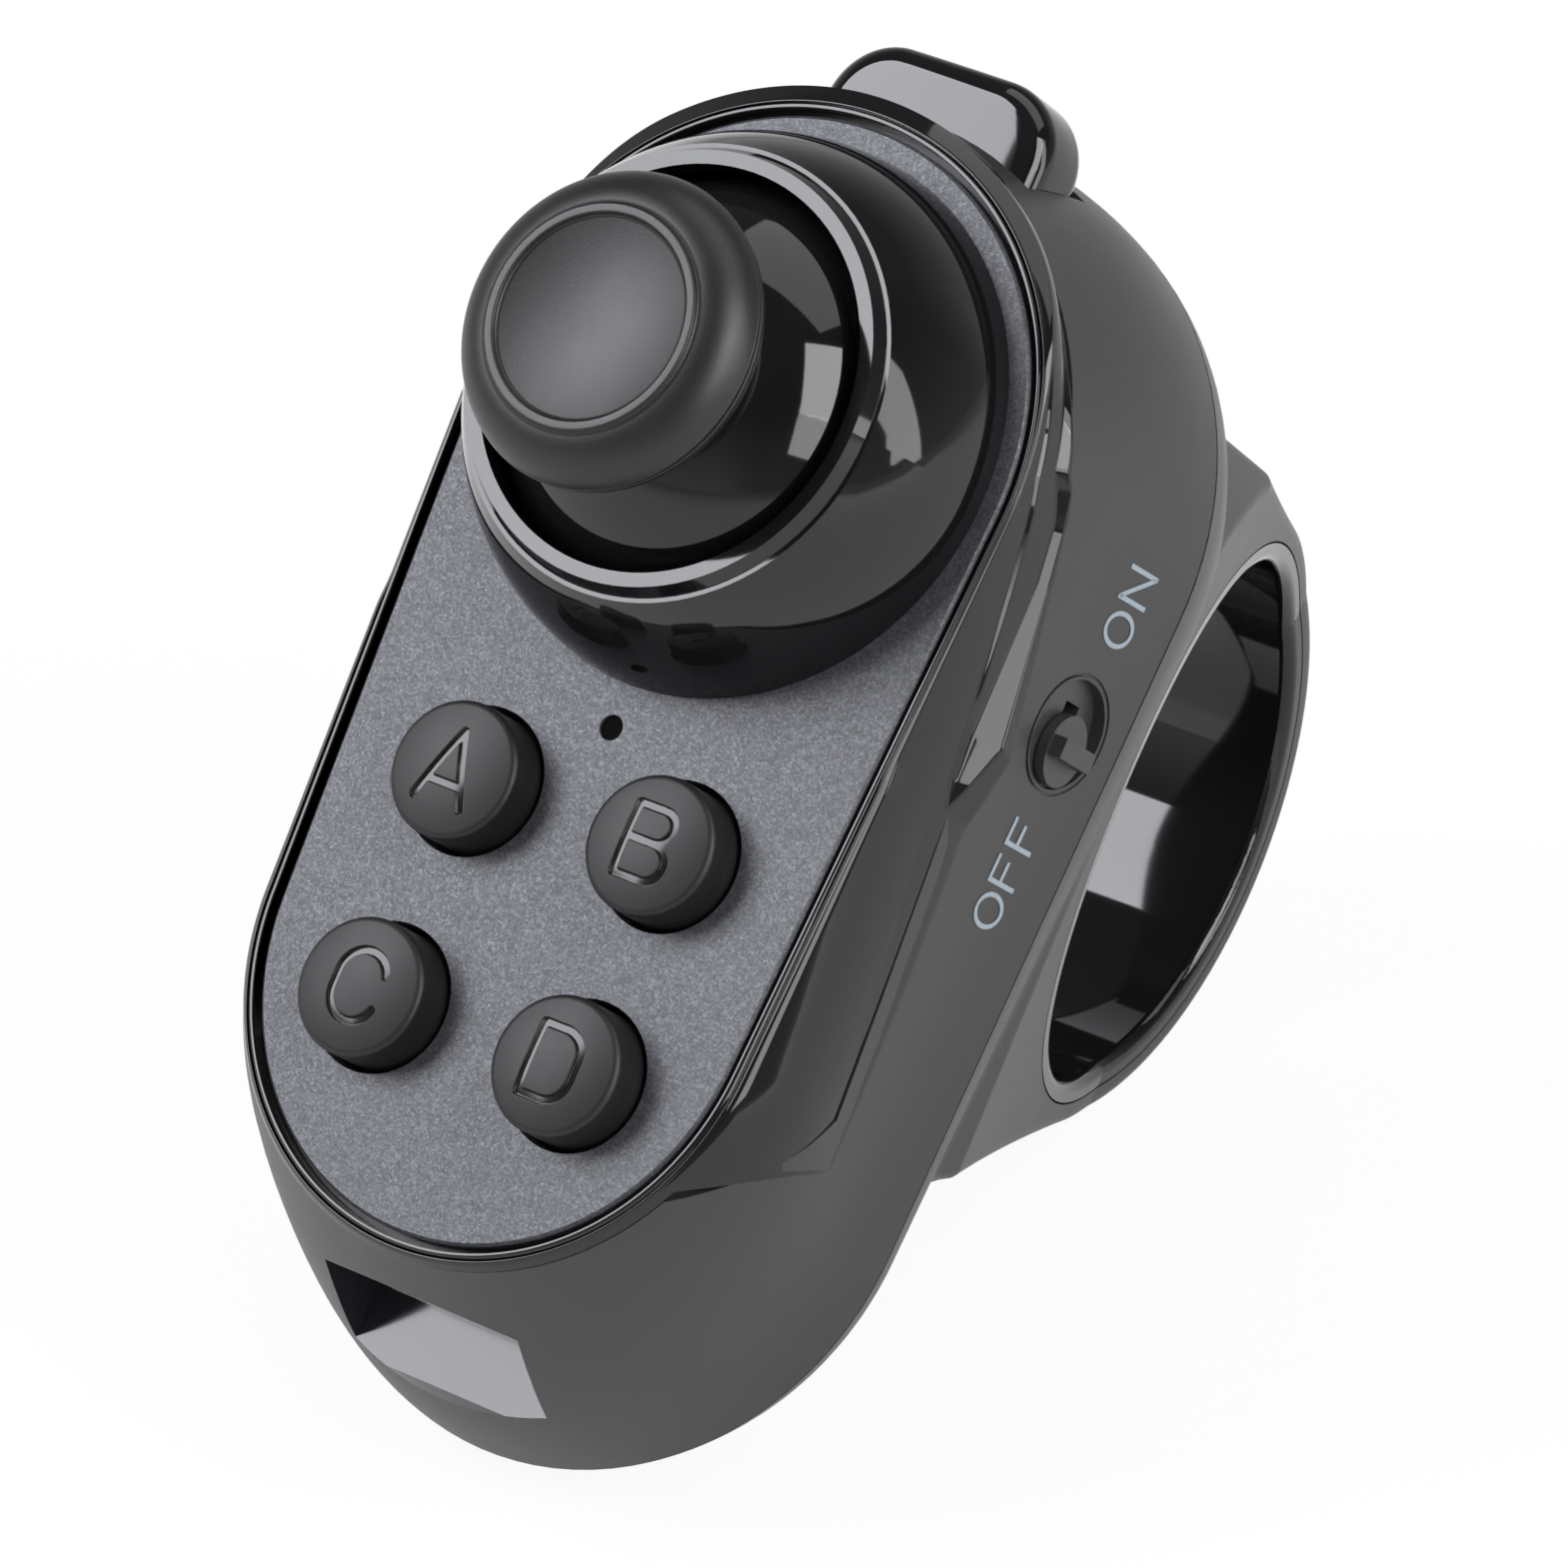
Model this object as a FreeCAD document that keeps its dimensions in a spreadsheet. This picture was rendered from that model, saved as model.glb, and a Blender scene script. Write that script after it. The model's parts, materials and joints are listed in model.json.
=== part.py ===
"""Thumb-stick game controller worn on a finger, with four face buttons, a trigger,
a slide switch and a finger ring.  All sizes are millimetres.

Every piece is first built in the face frame: the origin is the centre of the face plate's
upper round end, on the plate's top surface; +X points at the slide switch, +Y at the
trigger and +Z straight out of the face.  The last step tilts the whole assembly into the
pose in which it lies on a table, on its finger ring and its nose.
"""
import FreeCAD, Part
import math
import os
import re

import Sketcher
from FreeCAD import Placement, Rotation, Vector

doc = FreeCAD.newDocument("ring_controller")

# Driving sizes: name, value, what it measures

SIZES = [
    ("plate_tail_radius", 14.0, "face plate, round end at the stick"),
    ("plate_nose_radius", 12.6, "face plate, round end at the nose"),
    ("plate_span", 27.1, "distance between the centres of the two round ends"),
    ("plate_thickness", 1.0, "face plate"),
    ("plate_bevel", 0.15, "bevel round the face plate's top edge"),
    ("plate_gap", 0.3, "shadow gap between face plate and bead"),
    ("bead_width", 0.45, "glossy bead round the plate"),
    ("bead_height", 0.12, "bead stands this far above the plate"),
    ("bead_depth", 0.5, "bead reaches this far below the plate's top"),
    ("bead_round", 0.16, "rounding of the bead's inner edge"),
    ("deck_thickness", 1.6, "front shell under the face plate"),
    ("wall", 1.6, "housing wall"),
    ("brow_depth", 4.5, "first moulded level below the face"),
    ("brow_tail_swell", 0.6, "tail radius at the brow, against the rim"),
    ("brow_tail_reach", 1.05, "tail end at the brow, against the rim"),
    ("brow_nose_swell", 1.85, "nose radius at the brow, against the rim"),
    ("brow_nose_reach", 2.75, "nose end at the brow, against the rim"),
    ("cheek_depth", 9.3, "second moulded level"),
    ("cheek_tail_swell", 1.15, "tail radius at the cheek, against the rim"),
    ("cheek_tail_reach", 1.95, "tail end at the cheek, against the rim"),
    ("cheek_nose_swell", 1.55, "nose radius at the cheek, against the rim"),
    ("cheek_nose_reach", 5.3, "nose end at the cheek, against the rim"),
    ("seam_depth", 14.3, "parting line between front and rear shell"),
    ("seam_tail_swell", 1.8, "tail radius at the seam, against the rim"),
    ("seam_tail_reach", 1.9, "tail end at the seam, against the rim"),
    ("seam_nose_swell", 2.3, "nose radius at the seam, against the rim"),
    ("seam_nose_reach", 6.7, "nose end at the seam, against the rim"),
    ("belly_drop", 8.5, "depth of the rear shell below the seam"),
    ("belly_round", 7.5, "how far the belly's rounded edge runs in"),
    ("belly_power", 2.0, "fullness of that rounding, 2 is an ellipse"),
    ("belly_tail_lean", 0.9, "belly leans in by this much at the tail"),
    ("belly_nose_lean", 2.6, "belly leans in by this much at the nose"),
    ("cavity_drop", 4.7, "inside depth of the rear shell below the seam"),
    ("cavity_round", 3.0, "rounding of the inside floor's edge"),
    ("trim_tail_depth", 0.95, "lower edge of the glossy trim at the tail end"),
    ("trim_tip_depth", 5.9, "lower edge of the glossy trim at its pointed end"),
    ("trim_tip_back", 27.6, "pointed end of the trim, towards the nose"),
    ("trim_rim_back", 34.0, "where the trim runs out into the bead"),
    ("trim_web", 1.3, "front shell carried under the trim"),
    ("ring_back", 7.3, "finger ring axis, towards the nose"),
    ("ring_depth", 35.1, "finger ring axis, below the face"),
    ("ring_radius", 15.5, "outside radius of the finger ring"),
    ("ring_bore", 13.1, "radius of the finger hole"),
    ("liner_wall", 1.1, "ring liner"),
    ("liner_gap", 0.1, "fine gap between liner and rear shell"),
    ("liner_round", 0.6, "rounding of the liner's mouth"),
    ("ring_tail_lean", 3.2, "lean of the ring's tail flank, degrees"),
    ("ring_nose_lean", 16.2, "lean of the ring's nose flank, degrees"),
    ("ring_root", 2.6, "ring's root reaches this far above the ring's crown"),
    ("ring_top_half", 13.7, "half width of the ring at the belly's edge"),
    ("ring_top_rise", 13.8, "height above the ring's axis at which that half width holds"),
    ("ring_flank_half", 7.0, "half width at the lower end of the flank"),
    ("ring_flank_drop", 6.9, "flank's lower end, below the ring's axis"),
    ("ring_flank_hollow", 200.0, "radius of the flank's slight hollow"),
    ("ring_foot_half", 6.05, "half width of the ring at its lowest point"),
    ("ring_blend", 2.2, "hollow between the belly and the ring"),
    ("ring_edge_round", 0.8, "rounding of the ring's outer edges"),
    ("ring_shoulder", 2.2, "ring's shoulders lie this far inside the seam's outline"),
    ("stick_y", -0.2, "stick axis"),
    ("pivot_depth", 0.9, "stick pivot, below the plate's top"),
    ("tower_radius", 13.1, "outer sphere of the stick tower"),
    ("tower_height", 7.5, "lip of the tower, above the plate"),
    ("tower_mouth", 9.42, "radius of the tower's mouth"),
    ("lip_width", 0.65, "flat lip round the mouth"),
    ("lip_drop", 0.7, "height of the lip's edge band"),
    ("lip_step", 0.2, "small step under the lip"),
    ("tower_wall", 1.2, "stick tower"),
    ("tower_foot", 0.45, "width of the tower's foot in the plate's hole"),
    ("foot_play", 0.05, "between the foot and the plate's hole"),
    ("dome_play", 0.4, "between the stick's dome and the tower"),
    ("dome_wall", 0.9, "stick dome"),
    ("dome_skirt", 73.0, "edge of the dome, degrees from the stick"),
    ("stick_neck", 2.9, "radius of the neck between dome and cap"),
    ("shaft_radius", 1.3, "stick shaft"),
    ("shaft_top", 13.4, "top of the shaft, above the plate"),
    ("shaft_tail", 3.3, "shaft runs this far below the pivot"),
    ("shaft_foot", 1.6, "radius of the shaft's foot"),
    ("foot_height", 0.6, "height of the shaft's foot"),
    ("cap_radius", 7.3, "thumb cap"),
    ("cap_top", 15.0, "top of the cap's raised ring, above the plate"),
    ("cap_depth", 3.8, "thickness of the thumb cap"),
    ("cap_waist", 5.7, "radius of the cap's flat underside"),
    ("cap_girth", 1.7, "height of the cap's widest point over its underside"),
    ("cap_shoulder", 2.4, "rounding of the cap's upper edge"),
    ("cap_ring", 5.2, "outer radius of the raised ring"),
    ("cap_ring_width", 0.5, "raised ring"),
    ("cap_ring_height", 0.22, "raised ring above the cap's shoulder"),
    ("cap_dish", 0.5, "depth of the cap's hollow"),
    ("button_x", 5.5, "half distance between the two button columns"),
    ("button_y", 25.05, "centre of the button group, towards the nose"),
    ("button_rows", 10.55, "distance between the two button rows"),
    ("button_radius", 3.24, "button cap"),
    ("button_height", 2.46, "button top, above the plate"),
    ("button_crown", 14.0, "radius of the button's gently domed top"),
    ("button_round", 0.6, "rounding of the button's top edge"),
    ("button_play", 0.3, "between a button and its hole"),
    ("button_flange", 0.7, "flange stands out from the cap under the deck"),
    ("flange_thickness", 0.7, "button flange"),
    ("flange_play", 0.12, "between a flange and the deck"),
    ("button_stem", 1.6, "radius of the button's stem"),
    ("button_travel", 0.8, "press of a face button"),
    ("switch_height", 1.9, "push switch on the board"),
    ("switch_side", 4.6, "push switch, along a side"),
    ("switch_floor", 0.3, "bottom of a push switch"),
    ("plunger_radius", 1.1, "plunger of a push switch"),
    ("running_play", 0.06, "running clearance, on the radius"),
    ("press_margin", 0.2, "left over when a plunger is pressed home"),
    ("board_depth", 7.5, "top of the circuit board, below the plate's top"),
    ("board_thickness", 1.0, "circuit board"),
    ("board_tail_radius", 13.2, "round end of the board at the tail"),
    ("board_tail_end", 9.6, "tail end of the board"),
    ("board_nose_radius", 9.5, "round end of the board at the nose"),
    ("board_nose_end", 40.2, "nose end of the board"),
    ("led_y", -15.35, "indicator light, on the plate's centre line"),
    ("led_hole", 0.6, "radius of the pinhole"),
    ("led_length", 1.6, "indicator light"),
    ("led_height", 0.6, "indicator light"),
    ("pipe_sink", 0.15, "light pipe ends this far below the plate's top"),
    ("pipe_collar", 1.2, "radius of the light pipe's collar"),
    ("pipe_collar_height", 0.6, "light pipe's collar"),
    ("notch_half", 5.5, "half width of the recess in the nose"),
    ("notch_wall", 42.05, "back wall of the recess, towards the nose"),
    ("notch_floor", 9.3, "floor of the recess, below the plate's top"),
    ("port_half", 3.75, "half width of the charging port"),
    ("port_height", 2.6, "charging port"),
    ("port_length", 5.5, "charging port"),
    ("port_skin", 0.3, "sheet of the port's shell"),
    ("port_round", 0.9, "rounding of the port's corners"),
    ("part_play", 0.15, "between a part and the opening it shows through"),
    ("trigger_half", 6.2, "half width of the trigger"),
    ("trigger_top", 4.3, "upper side of the trigger, below the plate's top"),
    ("trigger_height", 4.7, "trigger"),
    ("trigger_reach", 18.9, "outer end of the trigger"),
    ("trigger_corner", 1.9, "rounding of the trigger's outer corners"),
    ("trigger_edge", 0.8, "rounding of the trigger's outer edges"),
    ("trigger_shoulder", 12.0, "outer side of the trigger's flange"),
    ("trigger_flange", 0.8, "thickness of that flange"),
    ("trigger_lip", 0.4, "flange stands out this far all round"),
    ("trigger_travel", 1.0, "press of the trigger"),
    ("trigger_play", 0.2, "between trigger and housing"),
    ("trigger_switch_end", 9.2, "outer end of the trigger's switch"),
    ("trigger_switch_length", 2.3, "trigger switch"),
    ("trigger_switch_height", 2.2, "trigger switch"),
    ("trigger_switch_half", 2.6, "half width of the trigger switch"),
    ("trigger_plunger", 0.7, "radius of the trigger switch's plunger"),
    ("slide_y", -8.3, "slide knob in its OFF place"),
    ("slide_z", -10.4, "slide knob, below the plate's top"),
    ("slide_face", 16.0, "outer face of the knob's disc"),
    ("slide_disc", 1.7, "radius of the slide knob's disc"),
    ("slide_disc_depth", 0.5, "thickness of the disc"),
    ("slide_rib", 0.95, "width of the raised rib"),
    ("slide_rib_length", 3.0, "length of the raised rib"),
    ("slide_rib_height", 0.7, "height of the rib above the disc"),
    ("slide_travel", 1.5, "from OFF to ON"),
    ("slide_play", 0.1, "behind the disc and round the lever"),
    ("well_y", -7.55, "centre of the oval well"),
    ("well_z", -10.35, "centre of the oval well"),
    ("well_half_length", 2.6, "oval well"),
    ("well_half_height", 2.5, "oval well"),
    ("well_margin", 0.14, "between the well and the fine groove round it"),
    ("groove_width", 0.16, "fine grooves round the well and along the seam"),
    ("groove_depth", 0.14, "those grooves"),
    ("lever_side", 1.1, "square lever behind the knob"),
    ("lever_depth", 2.9, "length of the lever behind the disc"),
    ("lever_grip", 1.2, "lever reaches this far into the slide switch"),
    ("slide_case_width", 3.2, "slide switch, across"),
    ("slide_case_length", 7.0, "slide switch, along"),
    ("slide_case_height", 3.6, "slide switch, below the board"),
    ("cell_half", 8.3, "half width of the battery cell"),
    ("cell_length", 26.0, "battery cell"),
    ("cell_thickness", 4.2, "battery cell"),
    ("cell_front", 8.5, "tail end of the battery cell, towards the nose"),
    ("cell_round", 1.2, "rounding along the cell's sides"),
    ("pad_thickness", 0.7, "foam tape between board and cell"),
    ("lead_radius", 0.4, "battery lead"),
    ("lead_bend", 1.2, "bend radius of a lead"),
    ("lead_x", 2.0, "half distance between the leads"),
    ("lead_stub", 0.6, "lead runs straight out of the cell"),
    ("rib_thickness", 1.2, "ribs under the cell"),
    ("rib_spacing", 13.0, "distance between the ribs under the cell"),
    ("screw_shank", 0.85, "housing screw, radius"),
    ("screw_head", 1.5, "housing screw head, radius"),
    ("screw_head_height", 1.1, "housing screw head"),
    ("screw_bite", 4.2, "housing screw in the front shell's post"),
    ("screw_grip", 2.6, "rear shell between screw head and seam"),
    ("post_wall", 0.85, "plastic round a screw"),
    ("nose_post_x", 8.0, "screws near the nose"),
    ("nose_post_y", 36.6, "screws near the nose, towards the nose"),
    ("tail_post_y", 13.2, "screw near the tail, under the trigger"),
    ("board_post_x", 10.5, "screws that hold the board"),
    ("board_screw_length", 4.5, "screws that hold the board"),
    ("post_play", 0.3, "between the board and the posts it goes round"),
    ("ear_reach", 6.0, "inner faces of the stick module's ears"),
    ("ear_thickness", 0.9, "ears of the stick module"),
    ("ear_half", 1.7, "half width of an ear"),
    ("module_floor", 0.8, "floor of the stick module"),
    ("axle_radius", 0.8, "axles of the two bows"),
    ("bow_play", 0.3, "between a bow's end and its ear"),
    ("bow_half", 2.2, "half width of the lower bow"),
    ("bow_rise", 1.2, "half height of the lower bow"),
    ("bow_window", 2.7, "half length of the shaft's window in the lower bow"),
    ("arch_inner", 4.1, "inner radius of the upper bow's arch"),
    ("arch_thickness", 0.9, "upper bow"),
    ("arch_half", 2.3, "half width of the upper bow"),
    ("arch_slot", 3.2, "half length of the slot in the upper bow"),
    ("slot_play", 0.1, "between the shaft and what guides it"),
    ("pin_radius", 0.5, "pin through shaft and lower bow"),
    ("sensor_thickness", 2.2, "position sensor"),
    ("sensor_half", 3.1, "half width of a position sensor"),
    ("sensor_rise", 1.7, "sensor's top above the pivot"),
    ("sensor_round", 1.2, "rounding of the sensor's upper corners"),
    ("disc_gap", 0.36, "room for the shaft's foot to tip on the centring disc"),
    ("disc_radius", 2.6, "centring disc"),
    ("disc_thickness", 0.6, "centring disc"),
    ("spring_wire", 0.35, "centring spring, wire diameter"),
    ("spring_radius", 1.9, "centring spring, mean radius"),
    ("spring_turns", 2, "centring spring"),
    ("radio_side", 4.0, "radio chip"),
    ("charger_side", 3.0, "charging chip"),
    ("chip_height", 0.9, "chips on the board"),
    ("crystal_length", 2.5, "crystal can, across"),
    ("crystal_width", 1.6, "crystal can, along"),
    ("chip_spacing", 4.3, "distance between the chips' centres"),
]

sheet = doc.addObject("Spreadsheet::Sheet", "Sizes")
for row, (alias, value, meaning) in enumerate(SIZES, start=1):
    sheet.set("A%d" % row, alias)
    sheet.set("B%d" % row, str(value))
    sheet.set("C%d" % row, meaning)
    sheet.setAlias("B%d" % row, alias)
doc.recompute()

FUNCTIONS = {"sin", "cos", "tan", "sqrt", "abs", "asin"}


def bound(text):
    """The expression with every size name pointing at its cell."""
    return re.sub(r"[a-z][a-z_]*", lambda word: word.group(0) if word.group(0) in FUNCTIONS
                  else "Sizes." + word.group(0), str(text))


def size(text):
    """The value of an expression on the sizes."""
    return float(sheet.evalExpression(bound(text)))


# Drawing: sketches whose every dimension is bound to the sheet

SIDE_VIEW = Rotation(0.5, 0.5, 0.5, 0.5)
FRONT_VIEW = Rotation(Vector(1, 0, 0), 90)


def new_body(label):
    body = doc.addObject("PartDesign::Body", label)
    body.Label = label
    return body


def body_sketch(body, name, plane):
    """A sketch on one of the body's own origin planes."""
    sketch = body.newObject("Sketcher::SketchObject", name)
    support = [f for f in body.Origin.OriginFeatures if f.Role == plane][0]
    sketch.AttachmentSupport = [(support, "")]
    sketch.MapMode = "FlatFace"
    return sketch


def free_sketch(name, view=None, depth="0"):
    """A sketch in the face frame: flat at a depth, or standing in the side or front view."""
    sketch = doc.addObject("Sketcher::SketchObject", name)
    sketch.Placement = Placement(Vector(), view or Rotation())
    sketch.setExpression("Placement.Base.z", bound("-(%s)" % depth))
    return sketch


def fix(sketch, kind, *where, value):
    """One driving dimension, bound to the sheet."""
    index = sketch.addConstraint(Sketcher.Constraint(kind, *where, size(value)))
    sketch.setExpression("Constraints[%d]" % index, bound(value))


def bent_edge(start, end, radius):
    """An arc that bulges to the right of the way it runs, or to the left if radius < 0."""
    chord = end - start
    bulge = Vector(chord.y, -chord.x, 0).normalize() * (1 if radius > 0 else -1)
    rise = math.sqrt(max(radius ** 2 - (chord.Length / 2) ** 2, 0))
    centre = (start + end) * 0.5 - bulge * rise
    return Part.Arc(start, centre + bulge * abs(radius), end)


def ends(sketch, edge, start):
    """Numbers of an edge's two ends, first the one that lies at start."""
    first = (sketch.getPoint(edge, 1) - start).Length
    second = (sketch.getPoint(edge, 2) - start).Length
    return (1, 2) if first < second else (2, 1)


def draw_outline(sketch, corners, bends=None):
    """A closed outline through corners.  bends[i] is the radius of the arc that runs from
    corner i to the next, positive where it bulges to the right."""
    bends = bends or {}
    points = [Vector(size(a), size(b), 0) for a, b in corners]
    edges = []
    for i, start in enumerate(points):
        end = points[(i + 1) % len(points)]
        if i in bends:
            edge = bent_edge(start, end, size(bends[i]))
        else:
            edge = Part.LineSegment(start, end)
        edges.append(sketch.addGeometry(edge, False))
    for i, edge in enumerate(edges):
        following = (i + 1) % len(edges)
        first, last = ends(sketch, edge, points[i])
        meets = ends(sketch, edges[following], points[following])[0]
        sketch.addConstraint(Sketcher.Constraint("Coincident", edge, last, edges[following], meets))
        fix(sketch, "DistanceX", -1, 1, edge, first, value=corners[i][0])
        fix(sketch, "DistanceY", -1, 1, edge, first, value=corners[i][1])
        if i in bends:
            fix(sketch, "Radius", edge, value="abs(%s)" % bends[i])


def draw_circle(sketch, x, y, radius):
    centre = Vector(size(x), size(y), 0)
    edge = sketch.addGeometry(Part.Circle(centre, Vector(0, 0, 1), size(radius)), False)
    fix(sketch, "DistanceX", -1, 1, edge, 3, value=x)
    fix(sketch, "DistanceY", -1, 1, edge, 3, value=y)
    fix(sketch, "Radius", edge, value=radius)


def draw_egg(sketch, tail_radius, tail_end, nose_radius, nose_end):
    """A tapered stadium: two arcs and their common tangents.  The tail's end is measured
    along +Y and the nose's end along -Y."""
    tail = "(%s) - (%s)" % (tail_end, tail_radius)
    nose = "(%s) - (%s)" % (nose_radius, nose_end)
    arcs = []
    lean = math.asin((size(tail_radius) - size(nose_radius)) / (size(tail) - size(nose)))
    for middle, radius, start, stop in ((tail, tail_radius, lean, math.pi - lean),
                                        (nose, nose_radius, math.pi - lean, 2 * math.pi + lean)):
        circle = Part.Circle(Vector(0, size(middle), 0), Vector(0, 0, 1), size(radius))
        arcs.append(sketch.addGeometry(Part.ArcOfCircle(circle, start, stop), False))
        fix(sketch, "DistanceX", -1, 1, arcs[-1], 3, value="0")
        fix(sketch, "DistanceY", -1, 1, arcs[-1], 3, value=middle)
        fix(sketch, "Radius", arcs[-1], value=radius)
    for first, second in ((arcs[0], arcs[1]), (arcs[1], arcs[0])):
        side = Part.LineSegment(sketch.getPoint(first, 2), sketch.getPoint(second, 1))
        line = sketch.addGeometry(side, False)
        sketch.addConstraint(Sketcher.Constraint("Tangent", first, 2, line, 1))
        sketch.addConstraint(Sketcher.Constraint("Tangent", line, 2, second, 1))


# Solids: turned, padded and primitive shapes

def turned(label, corners, bends=None):
    """An outline of (radius, height) swept round the upright axis."""
    body = new_body(label)
    sketch = body_sketch(body, label + "_profile", "XZ_Plane")
    draw_outline(sketch, corners, bends)
    turn = body.newObject("PartDesign::Revolution", label + "_turn")
    turn.Profile = sketch
    turn.ReferenceAxis = (sketch, ["V_Axis"])
    turn.Angle = 360
    return body


def pad(body, sketch, length):
    """Raises a closed sketch of the body by a length."""
    lift = body.newObject("PartDesign::Pad", sketch.Name + "_pad")
    lift.Profile = sketch
    lift.setExpression("Length", bound(length))
    return lift


def block(name, x, y, z):
    """A box between pairs of limits along X, Y and Z."""
    box = doc.addObject("Part::Box", name)
    for side, axis, (low, high) in (("Length", "x", x), ("Width", "y", y), ("Height", "z", z)):
        box.setExpression(side, bound("(%s) - (%s)" % (high, low)))
        box.setExpression("Placement.Base." + axis, bound(low))
    return box


RODS = {"x": Rotation(Vector(0, 1, 0), 90), "y": Rotation(Vector(1, 0, 0), -90), "z": Rotation()}


def rod(name, axis, radius, low, high, across=("0", "0")):
    """A cylinder along one axis from low to high, centred at across on the other two."""
    cylinder = doc.addObject("Part::Cylinder", name)
    cylinder.Placement = Placement(Vector(), RODS[axis])
    cylinder.setExpression("Radius", bound(radius))
    cylinder.setExpression("Height", bound("(%s) - (%s)" % (high, low)))
    cylinder.setExpression("Placement.Base." + axis, bound(low))
    for other, place in zip([a for a in "xyz" if a != axis], across):
        cylinder.setExpression("Placement.Base." + other, bound(place))
    return cylinder


def prism(name, sketch, length, symmetric=False):
    """A sketch drawn out along its normal."""
    bar = doc.addObject("Part::Extrusion", name)
    bar.Base = sketch
    bar.DirMode = "Normal"
    bar.setExpression("LengthFwd", bound(length))
    bar.Symmetric = symmetric
    bar.Solid = True
    return bar


def loft(name, sections):
    """A smooth skin through level outlines, closed at both ends."""
    skin = doc.addObject("Part::Loft", name)
    skin.Sections = sections
    skin.Solid = True
    return skin


def join(name, shapes):
    fused = doc.addObject("Part::MultiFuse", name)
    fused.Shapes = shapes
    return fused


def cut(name, base, tool):
    rest = doc.addObject("Part::Cut", name)
    rest.Base = base
    rest.Tool = tool
    return rest


def shared(name, shapes):
    common = doc.addObject("Part::MultiCommon", name)
    common.Shapes = shapes
    return common


def rounded(name, base, chosen, radius):
    """Rounds those edges of a solid for which chosen(edge) is true."""
    doc.recompute()
    edges = [i for i, e in enumerate(base.Shape.Edges, start=1) if chosen(e)]
    fillet = doc.addObject("Part::Fillet", name)
    fillet.Base = base
    fillet.Edges = [(i, size(radius), size(radius)) for i in edges]
    return fillet


def along(edge, axis):
    """True for a straight edge that runs along an axis."""
    if not isinstance(edge.Curve, Part.Line):
        return False
    return abs(getattr(edge.Curve.Direction, axis)) > 0.999


def group(label, shapes):
    """Separate solids, or one primitive, under one node name."""
    bundle = doc.addObject("Part::Compound", label)
    bundle.Label = label
    bundle.Links = shapes
    return bundle


pieces = []


def keep(piece, x="0", y="0", z="0"):
    """Registers a finished piece, whose own origin goes to x, y, z of the face frame."""
    pieces.append((piece, Placement(Vector(size(x), size(y), size(z)), Rotation())))
    return piece

# Housing: outlines of the lofted shells, level by level

RIM_TAIL = "plate_tail_radius + plate_gap + bead_width"
RIM_NOSE = "plate_nose_radius + plate_gap + bead_width"
RIM_NOSE_END = "plate_span + " + RIM_NOSE
TOP = "bead_height"


def level(name, depth, part, inset="0", lean=("0", "0")):
    """The housing's outline at a depth; part names its swells and reaches over the rim, and
    lean draws its tail and its nose in."""
    grown = {"tail_swell": "0", "tail_reach": "0", "nose_swell": "0", "nose_reach": "0"}
    if part != "rim":
        grown = {key: part + "_" + key for key in grown}
    sketch = free_sketch(name, depth=depth)
    draw_egg(sketch,
             "%s + %s - (%s) - %s" % (RIM_TAIL, grown["tail_swell"], inset, lean[0]),
             "%s + %s - (%s) - %s" % (RIM_TAIL, grown["tail_reach"], inset, lean[0]),
             "%s + %s - (%s) - %s" % (RIM_NOSE, grown["nose_swell"], inset, lean[1]),
             "%s + %s - (%s) - %s" % (RIM_NOSE_END, grown["nose_reach"], inset, lean[1]))
    return sketch


def bowl(name, drop, edge, inset):
    """Levels from the seam down to a rounded floor.  The inset at a share d of the drop is
    edge * (1 - (1 - d ^ power) ^ (1 / power)), a superellipse, and a lean that grows with d."""
    levels = [level(name + "_seam", "seam_depth", "seam", inset)]
    for step in (1, 2, 3, 4):
        share = "sin(%g)" % (90 * step / 4)
        curve = "%s * (1 - abs(1 - %s ^ belly_power) ^ (1 / belly_power))" % (edge, share)
        lean = "belly_%%s_lean * %s * %s / belly_drop" % (share, drop)
        levels.append(level("%s_%d" % (name, step), "seam_depth + %s * %s" % (drop, share),
                            "seam", "%s + %s" % (inset, curve), (lean % "tail", lean % "nose")))
    return loft(name, levels)


def plate_prism(name, grow, depth, height):
    """The plate's outline grown by some amount, from a depth up."""
    sketch = free_sketch(name + "_outline", depth=depth)
    draw_egg(sketch, "plate_tail_radius + (%s)" % grow, "plate_tail_radius + (%s)" % grow,
             "plate_nose_radius + (%s)" % grow, "plate_span + plate_nose_radius + (%s)" % grow)
    return prism(name, sketch, height)


upper_levels = [level("rim", "-bead_height", "rim")]
upper_levels += [level(part, part + "_depth", part) for part in ("brow", "cheek", "seam")]
upper_form = loft("upper_form", upper_levels)

DECK_UNDER = "plate_thickness + deck_thickness"
inner_levels = [level("deck_inside", DECK_UNDER, "rim", "wall - brow_tail_swell / 2")]
inner_levels += [level(part + "_inside", part + "_depth", part, "wall")
                 for part in ("brow", "cheek", "seam")]
upper_hollow = loft("upper_hollow", inner_levels)

# Trim bezel: glossy wedge-shaped skin round the face plate, with a bead at its inner edge

BEYOND = "ring_radius + plate_span + brow_nose_reach"


def trim_wedge(name, lower):
    """Everything above the trim's lower edge, which slants down from the tail to its point
    and runs back up into the bead; lower shifts that edge down."""
    sketch = free_sketch(name + "_side", SIDE_VIEW)
    draw_outline(sketch, [
        (RIM_TAIL + " + brow_tail_reach", "bead_height + wall"),
        ("-(%s)" % BEYOND, "bead_height + wall"),
        ("-(%s)" % BEYOND, "-bead_depth - %s" % lower),
        ("-trim_rim_back", "-bead_depth - %s" % lower),
        ("-trim_tip_back", "-trim_tip_depth - %s" % lower),
        (RIM_TAIL + " + brow_tail_reach", "-trim_tail_depth - %s" % lower)])
    return prism(name, sketch, "4 * ring_radius", symmetric=True)


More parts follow.
